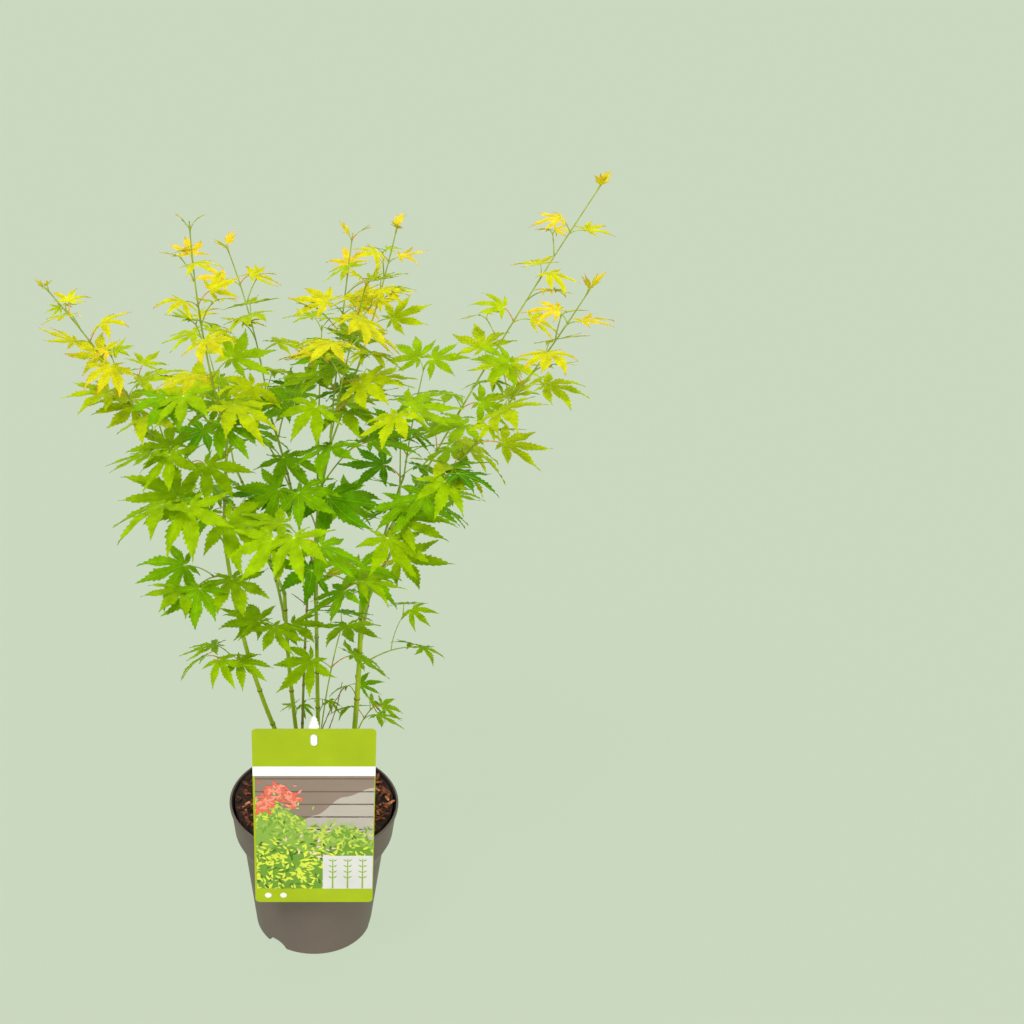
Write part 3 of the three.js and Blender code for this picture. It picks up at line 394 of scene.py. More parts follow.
# Finer pieces of the crown: name, the record's slot, then one leaf colour or the two streaks of a stem
FINE_PIECES = [
    ("leaf_margins", "leaf_yellow", (226, 160, 36)),
    ("leaf_veins", "leaf_lime", (160, 200, 40)),
    ("leaf_side_veins", "leaf_lime", (136, 184, 20)),
    ("leaf_hubs", "leaf_yellow", (216, 226, 130)),
    ("shoots", "bough", (126, 152, 28), (172, 188, 48)),
    ("stalks_red", "bough", (206, 122, 26), (232, 166, 52)),
    ("stalks_green", "cane", (140, 160, 34), (182, 200, 60)),
]
VEIN_WIDTHS = (0.0065, 0.002)
VEIN_HEIGHT = 0.3
SIDE_VEIN_WIDTH = 0.0028
SIDE_VEIN_LENGTH = 0.86
HUB_SHARE = 0.028
TOOTH_AHEAD = 0.036

# Floor and light. The floor glows with a share of its colour. The lamps are faintly pink, which evens
# out the pale green sky. Each lamp has its name, then its heading, height and softness in degrees, and
# its strength.
FLOOR_COLOUR = (203, 216, 192)
FLOOR_GLOW = 0.94
FLOOR_SHARE = 0.89
FLOOR_REACH = 300
LAMP_COLOUR = (0.92, 0.81, 1)
LAMPS = [("key", 235, 56, 16, 1.6), ("fill", 284, 20, 50, 1.2), ("back", 75, 50, 60, 0.44)]


# Small helpers

def unit(vector):
    return vector / np.linalg.norm(vector)


def direction_of(heading, slope):
    heading = radians(heading)
    slope = radians(slope)
    flat = cos(slope)
    return np.array([flat * cos(heading), flat * sin(heading), sin(slope)])


def turned(vector, axis, angle):
    """The vector turned round a unit axis by an angle in degrees."""
    angle = radians(angle)
    return (
        vector * cos(angle)
        + np.cross(axis, vector) * sin(angle)
        + axis * np.dot(axis, vector) * (1 - cos(angle))
    )


def clamp(value, low=0.0, high=1.0):
    return max(low, min(high, value))


def blend(low, high, share):
    return low + (high - low) * share


def linear(colour):
    """An sRGB colour of 0 to 255 as the linear values that shaders take."""
    shares = [value / 255 for value in colour]
    return [s / 12.92 if s <= 0.04045 else ((s + 0.055) / 1.055) ** 2.4 for s in shares] + [1]


def numbers_from(seed):
    """The source's number sequence: each call gives a number between minus and plus reach."""
    state = [seed * 7919 + 17]

    def draw():
        state[0] = (state[0] * 16807) % 2147483647
        return state[0] / 2147483647

    for _ in range(4):
        draw()
    return lambda reach: (draw() * 2 - 1) * reach


class Bag:
    """Collects the corners and faces of many small shapes for one joined mesh."""

    def __init__(self, *shapes):
        self.corners = []
        self.faces = []
        self.count = 0
        for shape in shapes:
            self.add(*shape)

    def add(self, corners, faces):
        self.corners.append(np.asarray(corners, float).reshape(-1, 3))
        self.faces.extend(tuple(corner + self.count for corner in face) for face in faces)
        self.count += len(self.corners[-1])


def add_object(name, data):
    thing = bpy.data.objects.new(name, data)
    bpy.context.scene.collection.objects.link(thing)
    return thing


def piece_from(name, bag, material, smooth=True, replaced=()):
    """One object in metres from a bag of shapes, which rides on the body."""
    mesh = bpy.data.meshes.new(name)
    corners = np.concatenate(bag.corners) * MM
    used = sorted({corner for face in bag.faces for corner in face})
    place = {corner: number for number, corner in enumerate(used)}
    faces = [tuple(place[corner] for corner in face) for face in bag.faces]
    mesh.from_pydata(corners[used].tolist(), [], faces)
    mesh.update()
    mesh.polygons.foreach_set("use_smooth", [smooth] * len(mesh.polygons))
    mesh.materials.append(material)
    piece = add_object(name, mesh)
    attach(piece, "root")
    if replaced:
        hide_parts(*replaced)
    return piece


def ring_angles(count):
    return np.linspace(0, 2 * pi, count, endpoint=False)


def band(low, high, count):
    """Quads between two closed rings of corners, given by the number of their first corner."""
    return [(low + k, low + (k + 1) % count, high + (k + 1) % count, high + k) for k in range(count)]


# Materials

class Look:
    """Builds one procedural material on a Principled shader."""

    def __init__(self, name, colour, roughness, specular):
        self.material = bpy.data.materials.new(name)
        self.material.use_nodes = True
        self.nodes = self.material.node_tree.nodes
        self.links = self.material.node_tree.links
        self.shader = self.nodes["Principled BSDF"]
        self.shader.inputs["Base Color"].default_value = linear(colour)
        self.shader.inputs["Roughness"].default_value = roughness
        self.shader.inputs["Specular IOR Level"].default_value = specular
        self.place = self.nodes.new("ShaderNodeTexCoord").outputs["Object"]
        self.bumps = None

    def node(self, kind, values, **feeds):
        """A shader node with values set on some sockets and others fed."""
        node = self.nodes.new("ShaderNode" + kind)
        for socket, value in values.items():
            node.inputs[socket].default_value = value
        for socket, source in feeds.items():
            self.links.new(source, node.inputs[socket])
        return node

    def feed(self, socket, source):
        self.links.new(source, self.shader.inputs[socket])

    def noise(self, scale, detail, stretch=(1, 1, 1)):
        place = self.node("Mapping", {"Scale": stretch}, Vector=self.place).outputs["Vector"]
        values = {"Scale": scale, "Detail": detail, "Roughness": NOISE_ROUGHNESS}
        return self.node("TexNoise", values, Vector=place).outputs["Fac"]

    def cells(self, scale):
        texture = self.node("TexVoronoi", {"Scale": scale}, Vector=self.place)
        texture.feature = "DISTANCE_TO_EDGE"
        return texture.outputs["Distance"]

    def colours(self, pattern, stops):
        ramp = self.node("ValToRGB", {}, Fac=pattern)
        elements = ramp.color_ramp.elements
        while len(elements) < len(stops):
            elements.new(0.5)
        for element, (place, colour) in zip(elements, stops):
            element.position = place
            element.color = linear(colour)
        self.feed("Base Color", ramp.outputs["Color"])

    def gloss(self, pattern, low, high):
        spread = self.node("MapRange", {"To Min": low, "To Max": high}, Value=pattern)
        self.feed("Roughness", spread.outputs["Result"])

    def bump(self, pattern, height, strength):
        bump = self.node("Bump", {"Strength": strength, "Distance": height * MM}, Height=pattern)
        if self.bumps:
            self.links.new(self.bumps, bump.inputs["Normal"])
        self.bumps = bump.outputs["Normal"]
        self.feed("Normal", self.bumps)


def shade(colour, factor):
    return tuple(clamp(value * factor, 0, 255) for value in colour)


def leaf_look(name, colour):
    look = Look(name, colour, 0.56, 0.04)
    look.colours(look.noise(90, 3), [(0.3, shade(colour, 0.9)), (0.7, shade(colour, 1.08))])
    look.gloss(look.noise(60, 2), 0.5, 0.64)
    look.bump(look.cells(420), 0.25, 0.5)
    look.bump(look.noise(900, 2), 0.08, 0.4)
    return look.material


def stem_look(name, dark, light):
    look = Look(name, light, 0.5, 0.4)
    streaks = look.noise(160, 5, (1, 1, 0.12))
    look.colours(streaks, [(0.32, dark), (0.62, light)])
    look.gloss(look.noise(220, 3), 0.4, 0.62)
    look.bump(look.noise(420, 4, (1, 1, 0.2)), 0.25, 0.6)
    return look.material


# Pot: a fine lathed shell with arched notches cut round its foot

# The collar's inside from the lip down, as radius and height
COLLAR_INSIDE = [
    (COLLAR_TOP_RADIUS - POT_WALL, POT_HEIGHT - LIP_DEPTH),
    (COLLAR_FOOT_RADIUS - POT_WALL, COLLAR_FOOT_Z + POT_WALL),
]


def arc_points(middle, radius_x, radius_y, start, end, steps):
    angles = np.radians(np.linspace(start, end, steps + 1))
    return [(middle[0] + radius_x * cos(a), middle[1] + radius_y * sin(a)) for a in angles]


def slope_points(low, high, shares):
    """Points on a straight wall between two places, given as radius and height."""
    return [(blend(low[0], high[0], share), blend(low[1], high[1], share)) for share in shares]


def pot_profile():
    body_foot = (FOOT_RADIUS, FOOT_ROUND)
    body_top = (BODY_TOP_RADIUS, BODY_TOP_Z)
    collar_foot = (COLLAR_FOOT_RADIUS, COLLAR_FOOT_Z)
    collar_top = (COLLAR_TOP_RADIUS, POT_HEIGHT - LIP_DEPTH)
    profile = [(0, 0), (FOOT_RADIUS * 0.45, 0), (FOOT_RADIUS * 0.8, 0)]
    profile += arc_points((FOOT_RADIUS - FOOT_ROUND, FOOT_ROUND), FOOT_ROUND, FOOT_ROUND, -90, 0, 6)
    profile += slope_points(body_foot, body_top, np.linspace(0.06, 0.97, 16))
    for out, up in SHOULDER:
        profile.append((blend(body_top[0], collar_foot[0], out), blend(body_top[1], collar_foot[1], up)))
    profile += slope_points(collar_foot, collar_top, np.linspace(0.08, 0.98, 10))
    profile += arc_points((collar_top[0], collar_top[1] + LIP_STEP), LIP_STEP + 0.2, LIP_STEP, -90, 0, 4)
    profile += arc_points((RIM_RADIUS - LIP_STEP, POT_HEIGHT - LIP_STEP), LIP_STEP, LIP_STEP, 0, 90, 5)
    inner_middle = (RIM_RADIUS - THIN_LIP + LIP_ROUND, POT_HEIGHT - LIP_ROUND)
    profile += arc_points(inner_middle, LIP_ROUND, LIP_ROUND, 90, 180, 3)
    return profile + COLLAR_INSIDE + [
        (BODY_TOP_RADIUS - POT_WALL, BODY_TOP_Z + POT_WALL),
        (FOOT_RADIUS - POT_WALL, POT_FLOOR + FOOT_ROUND),
        (FOOT_RADIUS - POT_WALL - FOOT_ROUND / 2, POT_FLOOR),
        (0, POT_FLOOR),
    ]


def lathe(profile, segments):
    """Corners and faces of a profile turned round the upright axis; it starts and ends on the axis."""
    rings = profile[1:-1]
    corners = [(0, 0, profile[0][1])]
    for radius, z in rings:
        corners += [(radius * cos(a), radius * sin(a), z) for a in ring_angles(segments)]
    corners.append((0, 0, profile[-1][1]))
    last = len(corners) - 1
    faces = []
    for segment in range(segments):
        after = (segment + 1) % segments
        faces.append((0, 1 + after, 1 + segment))
        for ring in range(len(rings) - 1):
            low = 1 + ring * segments
            high = low + segments
            faces.append((low + segment, low + after, high + after, high + segment))
        top = 1 + (len(rings) - 1) * segments
        faces.append((top + segment, top + after, last))
    return corners, faces


def notch_cutter(heading):
    """An arched block, lying along the heading, that cuts through the wall's foot."""
    half = NOTCH_WIDTH / 2
    arch = [(half, -NOTCH_SUNK)] + arc_points((0, 0), half, NOTCH_HEIGHT, 0, 180, 16) + [(-half, -NOTCH_SUNK)]
    out = direction_of(heading, 0)
    across = direction_of(heading + 90, 0)
    near = FOOT_RADIUS - NOTCH_DEPTH / 2
    corners = []
    for depth in (near, near + NOTCH_DEPTH):
        corners += [out * depth + across * x + np.array([0, 0, z]) for x, z in arch]
    count = len(arch)
    return corners, [tuple(range(count))[::-1], tuple(range(count, 2 * count))] + band(0, count, count)


def cut(piece, corners, faces):
    mesh = bpy.data.meshes.new("cutter")
    mesh.from_pydata([tuple(np.array(c) * MM) for c in corners], [], faces)
    body = bmesh.new()
    body.from_mesh(mesh)
    bmesh.ops.recalc_face_normals(body, faces=body.faces)
    body.to_mesh(mesh)
    body.free()
    cutter = add_object("cutter", mesh)
    modifier = piece.modifiers.new("cut", "BOOLEAN")
    modifier.operation = "DIFFERENCE"
    modifier.solver = "EXACT"
    modifier.object = cutter
    graph = bpy.context.evaluated_depsgraph_get()
    finished = bpy.data.meshes.new_from_object(piece.evaluated_get(graph))
    piece.modifiers.clear()
    piece.data = finished
    bpy.data.objects.remove(cutter)


def make_pot():
    look = Look("moulded_taupe", POT_COLOUR, 0.5, 0.45)
    look.colours(look.noise(7, 4), [(0.35, shade(POT_COLOUR, 0.95)), (0.65, shade(POT_COLOUR, 1.05))])
    look.gloss(look.noise(30, 4), 0.42, 0.58)
    look.bump(look.noise(600, 3), 0.06, 0.5)
    look.bump(look.noise(60, 2, (1, 1, 14)), 0.12, 0.25)
    shape = lathe(pot_profile(), POT_SEGMENTS)
    pot = piece_from("pot_shell", Bag(shape), look.material, True, ["pot"])
    for heading in NOTCH_HEADINGS:
        cut(pot, *notch_cutter(heading))
    pot.data.set_sharp_from_angle(angle=radians(40))
    # The inside of the pot gets a near-black skin of painted shade
    make_pot_shade_skin()


def make_pot_shade_skin():
    """The pot's inner face painted almost black as painted shade: a thin skin on the wall."""
    # Near-black colours that stand for the shade inside the pot, not the pot's own colour
    look = Look("painted_shade_near_black", (34, 28, 25), 0.62, 0.25)
    look.colours(look.noise(40, 4), [(0.35, (24, 19, 17)), (0.65, (42, 35, 31))])
    look.bump(look.noise(600, 3), 0.06, 0.5)
    wall = [(RIM_RADIUS - THIN_LIP, POT_HEIGHT - 0.9)] + COLLAR_INSIDE
    skins = zip(wall + wall[::-1], (1, 1, 1, 2, 3, 2))
    line = [(radius - layer * SHADE_SKIN_THICKNESS, z) for (radius, z), layer in skins]
    angles = ring_angles(POT_SEGMENTS)
    corners = [(radius * cos(a), radius * sin(a), z) for radius, z in line for a in angles]
    faces = []
    for ring in range(len(line)):
        faces += band((ring + 1) % len(line) * POT_SEGMENTS, ring * POT_SEGMENTS, POT_SEGMENTS)
    piece_from("pot_painted_shade_skin", Bag((corners, faces)), look.material)


# Potting mix: a lumpy bed with loose bark chips on it

def soil_height(x, y):
    place = Vector((x, y, 0))
    lumps = noise.noise(place / LUMP_SIZE) + 0.5 * noise.noise(place / CRUMB_SIZE)
    heap = SOIL_EDGE_RISE * clamp((hypot(x, y) - SOIL_EDGE_FROM) / SOIL_EDGE_REACH)
    return SOIL_Z + 1 + SOIL_ROUGHNESS * lumps + heap


def make_potting_mix():
    inset = POT_WALL + GAP
    wall_rise = (COLLAR_TOP_RADIUS - COLLAR_FOOT_RADIUS) / (POT_HEIGHT - COLLAR_FOOT_Z)
    top_radius = COLLAR_FOOT_RADIUS + (SOIL_Z - 1 - COLLAR_FOOT_Z) * wall_rise - inset - 0.5
    profile = [
        (0, POT_FLOOR + GAP),
        (FOOT_RADIUS - inset - FOOT_ROUND, POT_FLOOR + GAP),
        (FOOT_RADIUS - inset - 1, POT_FLOOR + FOOT_ROUND + 1),
        (BODY_TOP_RADIUS - inset - 1, BODY_TOP_Z + POT_WALL),
        (COLLAR_FOOT_RADIUS - inset - 1, COLLAR_FOOT_Z + POT_WALL + 1),
    ]
    for ring in range(SOIL_RINGS, 0, -1):
        profile.append((top_radius * ring / SOIL_RINGS, SOIL_Z))
    profile.append((0, SOIL_Z))
    corners, faces = lathe(profile, SOIL_SEGMENTS)
    heaped = [(x, y, soil_height(x, y) if z == SOIL_Z else z) for x, y, z in corners]
    look = Look("damp_mix", (46, 28, 20), 0.85, 0.3)
    look.colours(look.noise(120, 6), [(0.35, (20, 12, 9)), (0.55, (52, 30, 21)), (0.72, (84, 48, 30))])
    look.bump(look.noise(350, 6), 1.4, 0.9)
    bed = piece_from("mix_bed", Bag((heaped, faces)), look.material, True, ["potting_mix"])
    for heading in NOTCH_HEADINGS:
        cut(bed, *notch_cutter(heading))
    scatter_chips(top_radius)


def scatter_chips(reach):
    """Splinters of bark lying at odd angles on the bed, each tone a joined piece."""
    rng = np.random.default_rng(41)
    bags = [Bag() for _ in CHIP_TONES]
    shares = np.cumsum([share for _, _, share in CHIP_TONES])
    for _ in range(CHIP_COUNT):
        tone = int(np.searchsorted(shares, rng.random() * shares[-1]))
        radius = (reach - CHIP_MARGIN) * sqrt(rng.random())
        angle = rng.random() * 2 * pi
        x, y = radius * cos(angle), radius * sin(angle)
        size = np.array([rng.uniform(*span) for span in (CHIP_LENGTHS, CHIP_WIDTHS, CHIP_HEIGHTS)])
        along = direction_of(rng.uniform(0, 360), rng.normal(0, CHIP_TILT))
        across = turned(unit(np.cross([0, 0, 1], along)), along, rng.normal(0, CHIP_ROLL))
        middle = np.array([x, y, soil_height(x, y) + rng.uniform(*CHIP_RISE)])
        bags[tone].add(*chip_shape(rng, middle, size, (along, across, np.cross(along, across))))
    axes = (direction_of(60, 8), direction_of(150, 0), direction_of(60, 98))
    bags[-1].add(*chip_shape(rng, np.array(LARGE_CHIP_PLACE), np.array(LARGE_CHIP_SIZE), axes))
    for (name, colour, _), bag in zip(CHIP_TONES, bags):
        look = Look(name + "_bark", colour, 0.75, 0.35)
        look.colours(look.noise(260, 5), [(0.35, shade(colour, 0.62)), (0.65, shade(colour, 1.2))])
        look.bump(look.noise(700, 4), 0.5, 0.8)
        piece_from(name, bag, look.material, False)


def chip_shape(rng, middle, size, axes):
    """A splintered block: a box whose ends taper and whose corners are jittered."""
    corners = []
    for end in (-1, -0.35, 0.4, 1):
        width = (1 - 0.45 * abs(end)) * rng.uniform(0.75, 1.15)
        for side, rise in ((-1, -1), (1, -1), (1, 1), (-1, 1)):
            reach = np.array([end, side * width * 0.5, rise * width * 0.5]) * size
            reach[0] *= 0.5
            reach += rng.normal(0, 0.07, 3) * size
            corners.append(middle + reach[0] * axes[0] + reach[1] * axes[1] + reach[2] * axes[2])
    faces = [(3, 2, 1, 0), (12, 13, 14, 15)]
    for ring in (0, 4, 8):
        faces += band(ring, ring + 4, 4)
    return corners, faces


# Label card: a leaning rounded plate with a printed face, on a white holder

CARD_SLOPE = radians(CARD_LEAN)
CARD_LENGTH = (CARD_TOP_Z - CARD_FOOT_Z) / cos(CARD_SLOPE)
SLOT_MIDDLE = CARD_LENGTH - SLOT_BELOW_TOP


def card_plane_y(z):
    return -RIM_RADIUS - GAP - CARD_THICKNESS / 2 - (z - POT_HEIGHT) * tan(CARD_SLOPE)


def on_card(across, up, lift):
    """A point by its place on the card, as seen from the front, and its lift off the middle plane."""
    y = card_plane_y(CARD_FOOT_Z) - up * sin(CARD_SLOPE) - lift * cos(CARD_SLOPE)
    z = CARD_FOOT_Z + up * cos(CARD_SLOPE) - lift * sin(CARD_SLOPE)
    return (across, y, z)


def rounded_outline(left, right, low, high, corner):
    middles = [(right - corner, low + corner), (right - corner, high - corner),
               (left + corner, high - corner), (left + corner, low + corner)]
    outline = []
    for turn, middle in enumerate(middles):
        outline += arc_points(middle, corner, corner, turn * 90 - 90, turn * 90, 6)
    return outline


def slot_outline(width, height, middle):
    radius = width / 2
    straight = height / 2 - radius
    outline = arc_points((0, middle + straight), radius, radius, 0, 180, 10)
    return outline + arc_points((0, middle - straight), radius, radius, 180, 360, 10)


def plate(outline, low, high, hole=None):
    """A flat plate on the card between two lifts, with an optional hole of the same form."""
    body = bmesh.new()
    loops = [outline] + ([hole] if hole else [])
    edges = []
    for loop in loops:
        corners = [body.verts.new(on_card(x, up, low)) for x, up in loop]
        edges += [body.edges.new((a, b)) for a, b in zip(corners, corners[1:] + corners[:1])]
    filled = bmesh.ops.triangle_fill(body, use_beauty=True, edges=edges)
    faces = [item for item in filled["geom"] if isinstance(item, bmesh.types.BMFace)]
    raised = bmesh.ops.extrude_face_region(body, geom=faces)
    lift = np.array(on_card(0, 0, high)) - np.array(on_card(0, 0, low))
    corners = [item for item in raised["geom"] if isinstance(item, bmesh.types.BMVert)]
    bmesh.ops.translate(body, vec=Vector(lift), verts=corners)
    bmesh.ops.recalc_face_normals(body, faces=body.faces)
    body.verts.index_update()
    shape = [tuple(corner.co) for corner in body.verts]
    sides = [tuple(corner.index for corner in face.verts) for face in body.faces]
    body.free()
    return shape, sides


def make_card():
    half = CARD_WIDTH / 2
    outline = rounded_outline(-half, half, 0, CARD_LENGTH, CARD_CORNER)
    slot = slot_outline(SLOT_WIDTH, SLOT_HEIGHT, SLOT_MIDDLE)
    bag = Bag(plate(outline, -CARD_THICKNESS / 2, CARD_THICKNESS / 2, slot))
    piece_from("card_plate", bag, print_look("card_lime", (169, 190, 12)), False, ["label_card"])
    print_card(half)


def print_look(name, colour):
    look = Look(name, colour, 0.36, 0.3)
    look.colours(look.noise(25, 3), [(0.3, shade(colour, 0.97)), (0.7, shade(colour, 1.03))])
    look.gloss(look.noise(14, 3), 0.28, 0.42)
    look.bump(look.noise(500, 2), 0.03, 0.3)
    return look.material


def oblong(left, low, right, high):
    return [(left, low), (right, low), (right, high), (left, high)]


def cane_motif(x, low, top):
    """A small cane with opposite pairs of leaves, as outlines."""
    shapes = [[(x - 1, low + 0.5), (x + 1, low + 0.5), (x + 0.5, top), (x - 0.5, top)]]
    for share in MOTIF_PAIRS:
        height = blend(low + 3, top, share)
        for hand in (-1, 1):
            leaf = [(0, 0), (3, 0.6), (5, 3.4), (2, 2.4)]
            shapes.append([(x + hand * across, height + up) for across, up in leaf])
    return shapes


def print_card(half):
    """A plain garden picture of the builder's own: a sunny hedge of small leaves by a timber path."""
    face = CARD_THICKNESS / 2
    band_low, band_top, low = (CARD_LENGTH * share for share in (BAND_LOW, BAND_TOP, PICTURE_LOW))
    left = -half + PICTURE_LEFT_MARGIN
    right = half - PICTURE_RIGHT_MARGIN
    tall = band_low - low
    rng = np.random.default_rng(8)

    def place(across, up):
        return (left + (right - left) * clamp(across), low + tall * clamp(up))

    def layer(name, colour, level, outlines):
        high = face + PRINT_LIFT * level
        bag = Bag(*(plate(outline, face - 0.02, high) for outline in outlines))
        piece_from(name, bag, print_look(name, colour), False)

    def hill(foot, heights):
        """An outline with a flat foot and a wavy top through evenly spaced heights."""
        ease = [share * share * (3 - 2 * share) for share in np.linspace(0, 1, 9)[:-1]]
        tops = [blend(a, b, share) for a, b in zip(heights, heights[1:]) for share in ease]
        tops.append(heights[-1])
        count = len(tops) - 1
        return [place(0, foot), place(1, foot)] + [place(k / count, tops[k]) for k in range(count, -1, -1)]

    def marks(name, colour, level, count, crowds, size):
        """Small pointed leaf marks, dealt in turn to the crowds."""
        bag = Bag()
        for mark in range(count):
            across, up, reach_x, reach_up = crowds[mark % len(crowds)]
            x, height = place(across + rng.normal(0, reach_x), up + rng.normal(0, reach_up))
            length = size * rng.uniform(0.6, 1.3)
            turn = rng.uniform(0, 2 * pi)
            lift = face + PRINT_LIFT * (level + 0.6 * mark / count)
            corners = []
            for step, wide in MARK_OUTLINE:
                along, aside = step * length, wide * length
                spot_x = x + along * cos(turn) - aside * sin(turn)
                spot_up = height + along * sin(turn) + aside * cos(turn)
                corners.append(on_card(clamp(spot_x, left, right), clamp(spot_up, low, band_low), lift))
            bag.add(corners, [tuple(range(6))])
        piece_from(name, bag, print_look(name, colour), False)

    layer("print_band", (255, 255, 255), 1, [oblong(-half, band_low, half, band_top)])
    layer("print_timber", (150, 130, 116), 1, [oblong(*place(0, 0), *place(1, 1))])
    boards = [oblong(*place(0, up), *place(1, up + BOARD_JOINT)) for up in BOARD_HEIGHTS]
    layer("print_boards", (118, 98, 86), 1.5, boards)
    for name, colour, level, foot, heights in PRINT_HILLS:
        layer(name, colour, level, [hill(foot, heights)])
    for row in PRINT_MARKS:
        marks(*row)
    inset_left = blend(left, right, INSET_LEFT)
    inset_top = low + tall * INSET_TOP
    layer("print_inset", (222, 220, 216), 10, [oblong(inset_left, low, right, inset_top)])
    motifs = []
    for share in MOTIF_PLACES:
        motifs += cane_motif(blend(inset_left, right, share), low, inset_top - 4)
    layer("print_inset_leaves", (150, 180, 48), 10.6, motifs)
    height = CARD_LENGTH * ROUND_HEIGHT
    ring = [(ROUND_RADIUS * cos(a), ROUND_RADIUS * sin(a)) for a in ring_angles(28)]
    rounds = [[(half * share + x, height + up) for x, up in ring] for share in ROUND_PLACES]
    layer("print_rounds", (248, 250, 240), 1, rounds)


def make_holder():
    """The white holder keeps its solid's form, with a moulded plastic finish."""
    look = Look("white_plastic", (250, 250, 246), 0.4, 0.4)
    look.colours(look.noise(40, 3), [(0.3, (246, 247, 243)), (0.7, (255, 255, 252))])
    look.gloss(look.noise(60, 3), 0.34, 0.46)
    look.bump(look.noise(700, 2), 0.03, 0.4)
    holder = frame["nodes"]["label_holder"]
    holder.data.materials.clear()
    holder.data.materials.append(look.material)
    behind = -(CARD_THICKNESS / 2 + GAP + HOLDER_THICKNESS / 2)
    outline = [(x, CARD_LENGTH + up) for x, up in BARB_EDGE]
    outline += [(-x, CARD_LENGTH + up) for x, up in reversed(BARB_EDGE)]
    bag = Bag(plate(outline, behind - HOLDER_THICKNESS * 0.6, behind + HOLDER_THICKNESS * 0.6))
    piece_from("holder_barbs", bag, look.material, False)


# Stems: each axis is a straight line bowed in its own upright plane, as in the source

def stem_rows(fields, table, prefix=""):
    rows = [dict(zip(fields.split(), values)) for values in table]
    for row in rows:
        row["name"] = prefix + row["name"]
    return rows


LIMB_ROWS = stem_rows(STEM_FIELDS, LIMBS)
TWIG_ROWS = stem_rows(STEM_FIELDS, BARE_TWIGS)
SPRIG_ROWS = stem_rows(SPRIG_FIELDS, SPRIGS)
SHOOT_ROWS = stem_rows(SHOOT_FIELDS, SHOOTS, MASS_PREFIX)


class Stem:
    def __init__(self, row, parent):
        self.row = row
        self.parent = parent
        self.direction = direction_of(row["heading"], row["slope"])
        self.upward = direction_of(row["heading"], row["slope"] + 90)
        self.length = row["length"]
        self.foot = row["foot"]
        self.tip = row.get("tip", TWIG_TIP_RADIUS)
        if parent:
            self.start = parent.clear_start(row, self.tangent(0))
        else:
            self.start = np.array([*row["at"], SOIL_Z + GAP])

    def point(self, share):
        bow = self.row["bow"] * 4 * share * (1 - share)
        return self.start + self.direction * (self.length * share) + self.upward * bow

    def tangent(self, share):
        return unit(self.direction * self.length + self.upward * (self.row["bow"] * 4 * (1 - 2 * share)))

    def radius(self, share):
        return self.foot + (self.tip - self.foot) * share

    def clear_start(self, child, way):
        """Where a child's flat foot stands clear of this stem by the gap."""
        at = child["at"]
        along = abs(np.dot(self.tangent(at), way))
        across = sqrt(max(LEAST_SPLAY, 1 - along * along))
        if at >= 1:
            distance = (GAP + child["foot"] * across) / along
        else:
            distance = (self.radius(at) + GAP + child["foot"] * along) / across
        return self.point(at) + way * distance


def tube(points, radii, sides):
    """Corners and faces of a closed round tube along points, its rings kept from twisting."""
    points = np.asarray(points, float)
    count = len(points)
    alongs = np.gradient(points, axis=0)
    alongs /= np.linalg.norm(alongs, axis=1)[:, None]
    side = np.cross([0, 0, 1], points[-1] - points[0])
    if np.linalg.norm(side) < 0.2 * np.linalg.norm(points[-1] - points[0]):
        side = np.array([1.0, 0, 0])
    angles = ring_angles(sides)
    radii = np.asarray(radii, float)
    if radii.ndim == 1:
        radii = np.repeat(radii[:, None], sides, axis=1)
    rings = []
    for ring in range(count):
        first = unit(side - alongs[ring] * np.dot(side, alongs[ring]))
        second = np.cross(alongs[ring], first)
        spokes = np.outer(np.cos(angles), first) + np.outer(np.sin(angles), second)
        rings.append(points[ring] + spokes * radii[ring][:, None])
        side = first
    last = (count - 1) * sides
    faces = []
    for low in range(0, last, sides):
        faces += band(low, low + sides, sides)
    faces += [tuple(range(sides))[::-1], tuple(range(last, last + sides))]
    return np.concatenate(rings), faces


def node_shares(stem):
    """Where a limb's ring nodes lie: a little closer together towards its tip."""
    count = max(2, int(stem.length / CANE_NODE_STEP))
    shares = [(k + FIRST_NODE) / count for k in range(count)]
    return [share ** NODE_CROWDING for share in shares if share < LAST_NODE]


def bark_tube(stem, sides, sunk):
    """A limb with its bark's relief: fine ridges, swollen nodes and a flared collar at its foot."""
    shares = np.linspace(0, 1, max(8, int(stem.length / BARK_STEP)) + 1)
    points = [stem.point(share) for share in shares]
    nodes = node_shares(stem)
    seed = sum(ord(letter) for letter in stem.row["name"])
    radii = np.empty((len(shares), sides))
    for ring, share in enumerate(shares):
        place = share * stem.length
        swell = sum(exp(-(((share - node) * stem.length / NODE_REACH) ** 2)) for node in nodes)
        collar = COLLAR_SWELL * exp(-((place / COLLAR_REACH) ** 2))
        base = stem.radius(share) * (1 + NODE_SWELL * min(swell, 1) + collar)
        for corner, angle in enumerate(ring_angles(sides)):
            relief = 1
            for size, length, depth in BARK_RELIEF:
                spot = Vector((cos(angle) * size, sin(angle) * size + seed, place / length))
                relief += depth * noise.noise(spot)
            radii[ring, corner] = base * relief
    foot = points[0] - stem.tangent(0) * sunk
    return tube([foot] + points, np.vstack([radii[0] * SUNK_SHARE, radii]), sides)


def node_ring(stem, share, width):
    """A thin scar ring round a node, just proud of the bark."""
    reach = width / stem.length / 2
    shares = [clamp(share + reach * step) for step in (-1, -0.4, 0.4, 1)]
    radii = [stem.radius(s) * grow for s, grow in zip(shares, (1.12, 1.3, 1.3, 1.12))]
    return tube([stem.point(s) for s in shares], radii, 14)


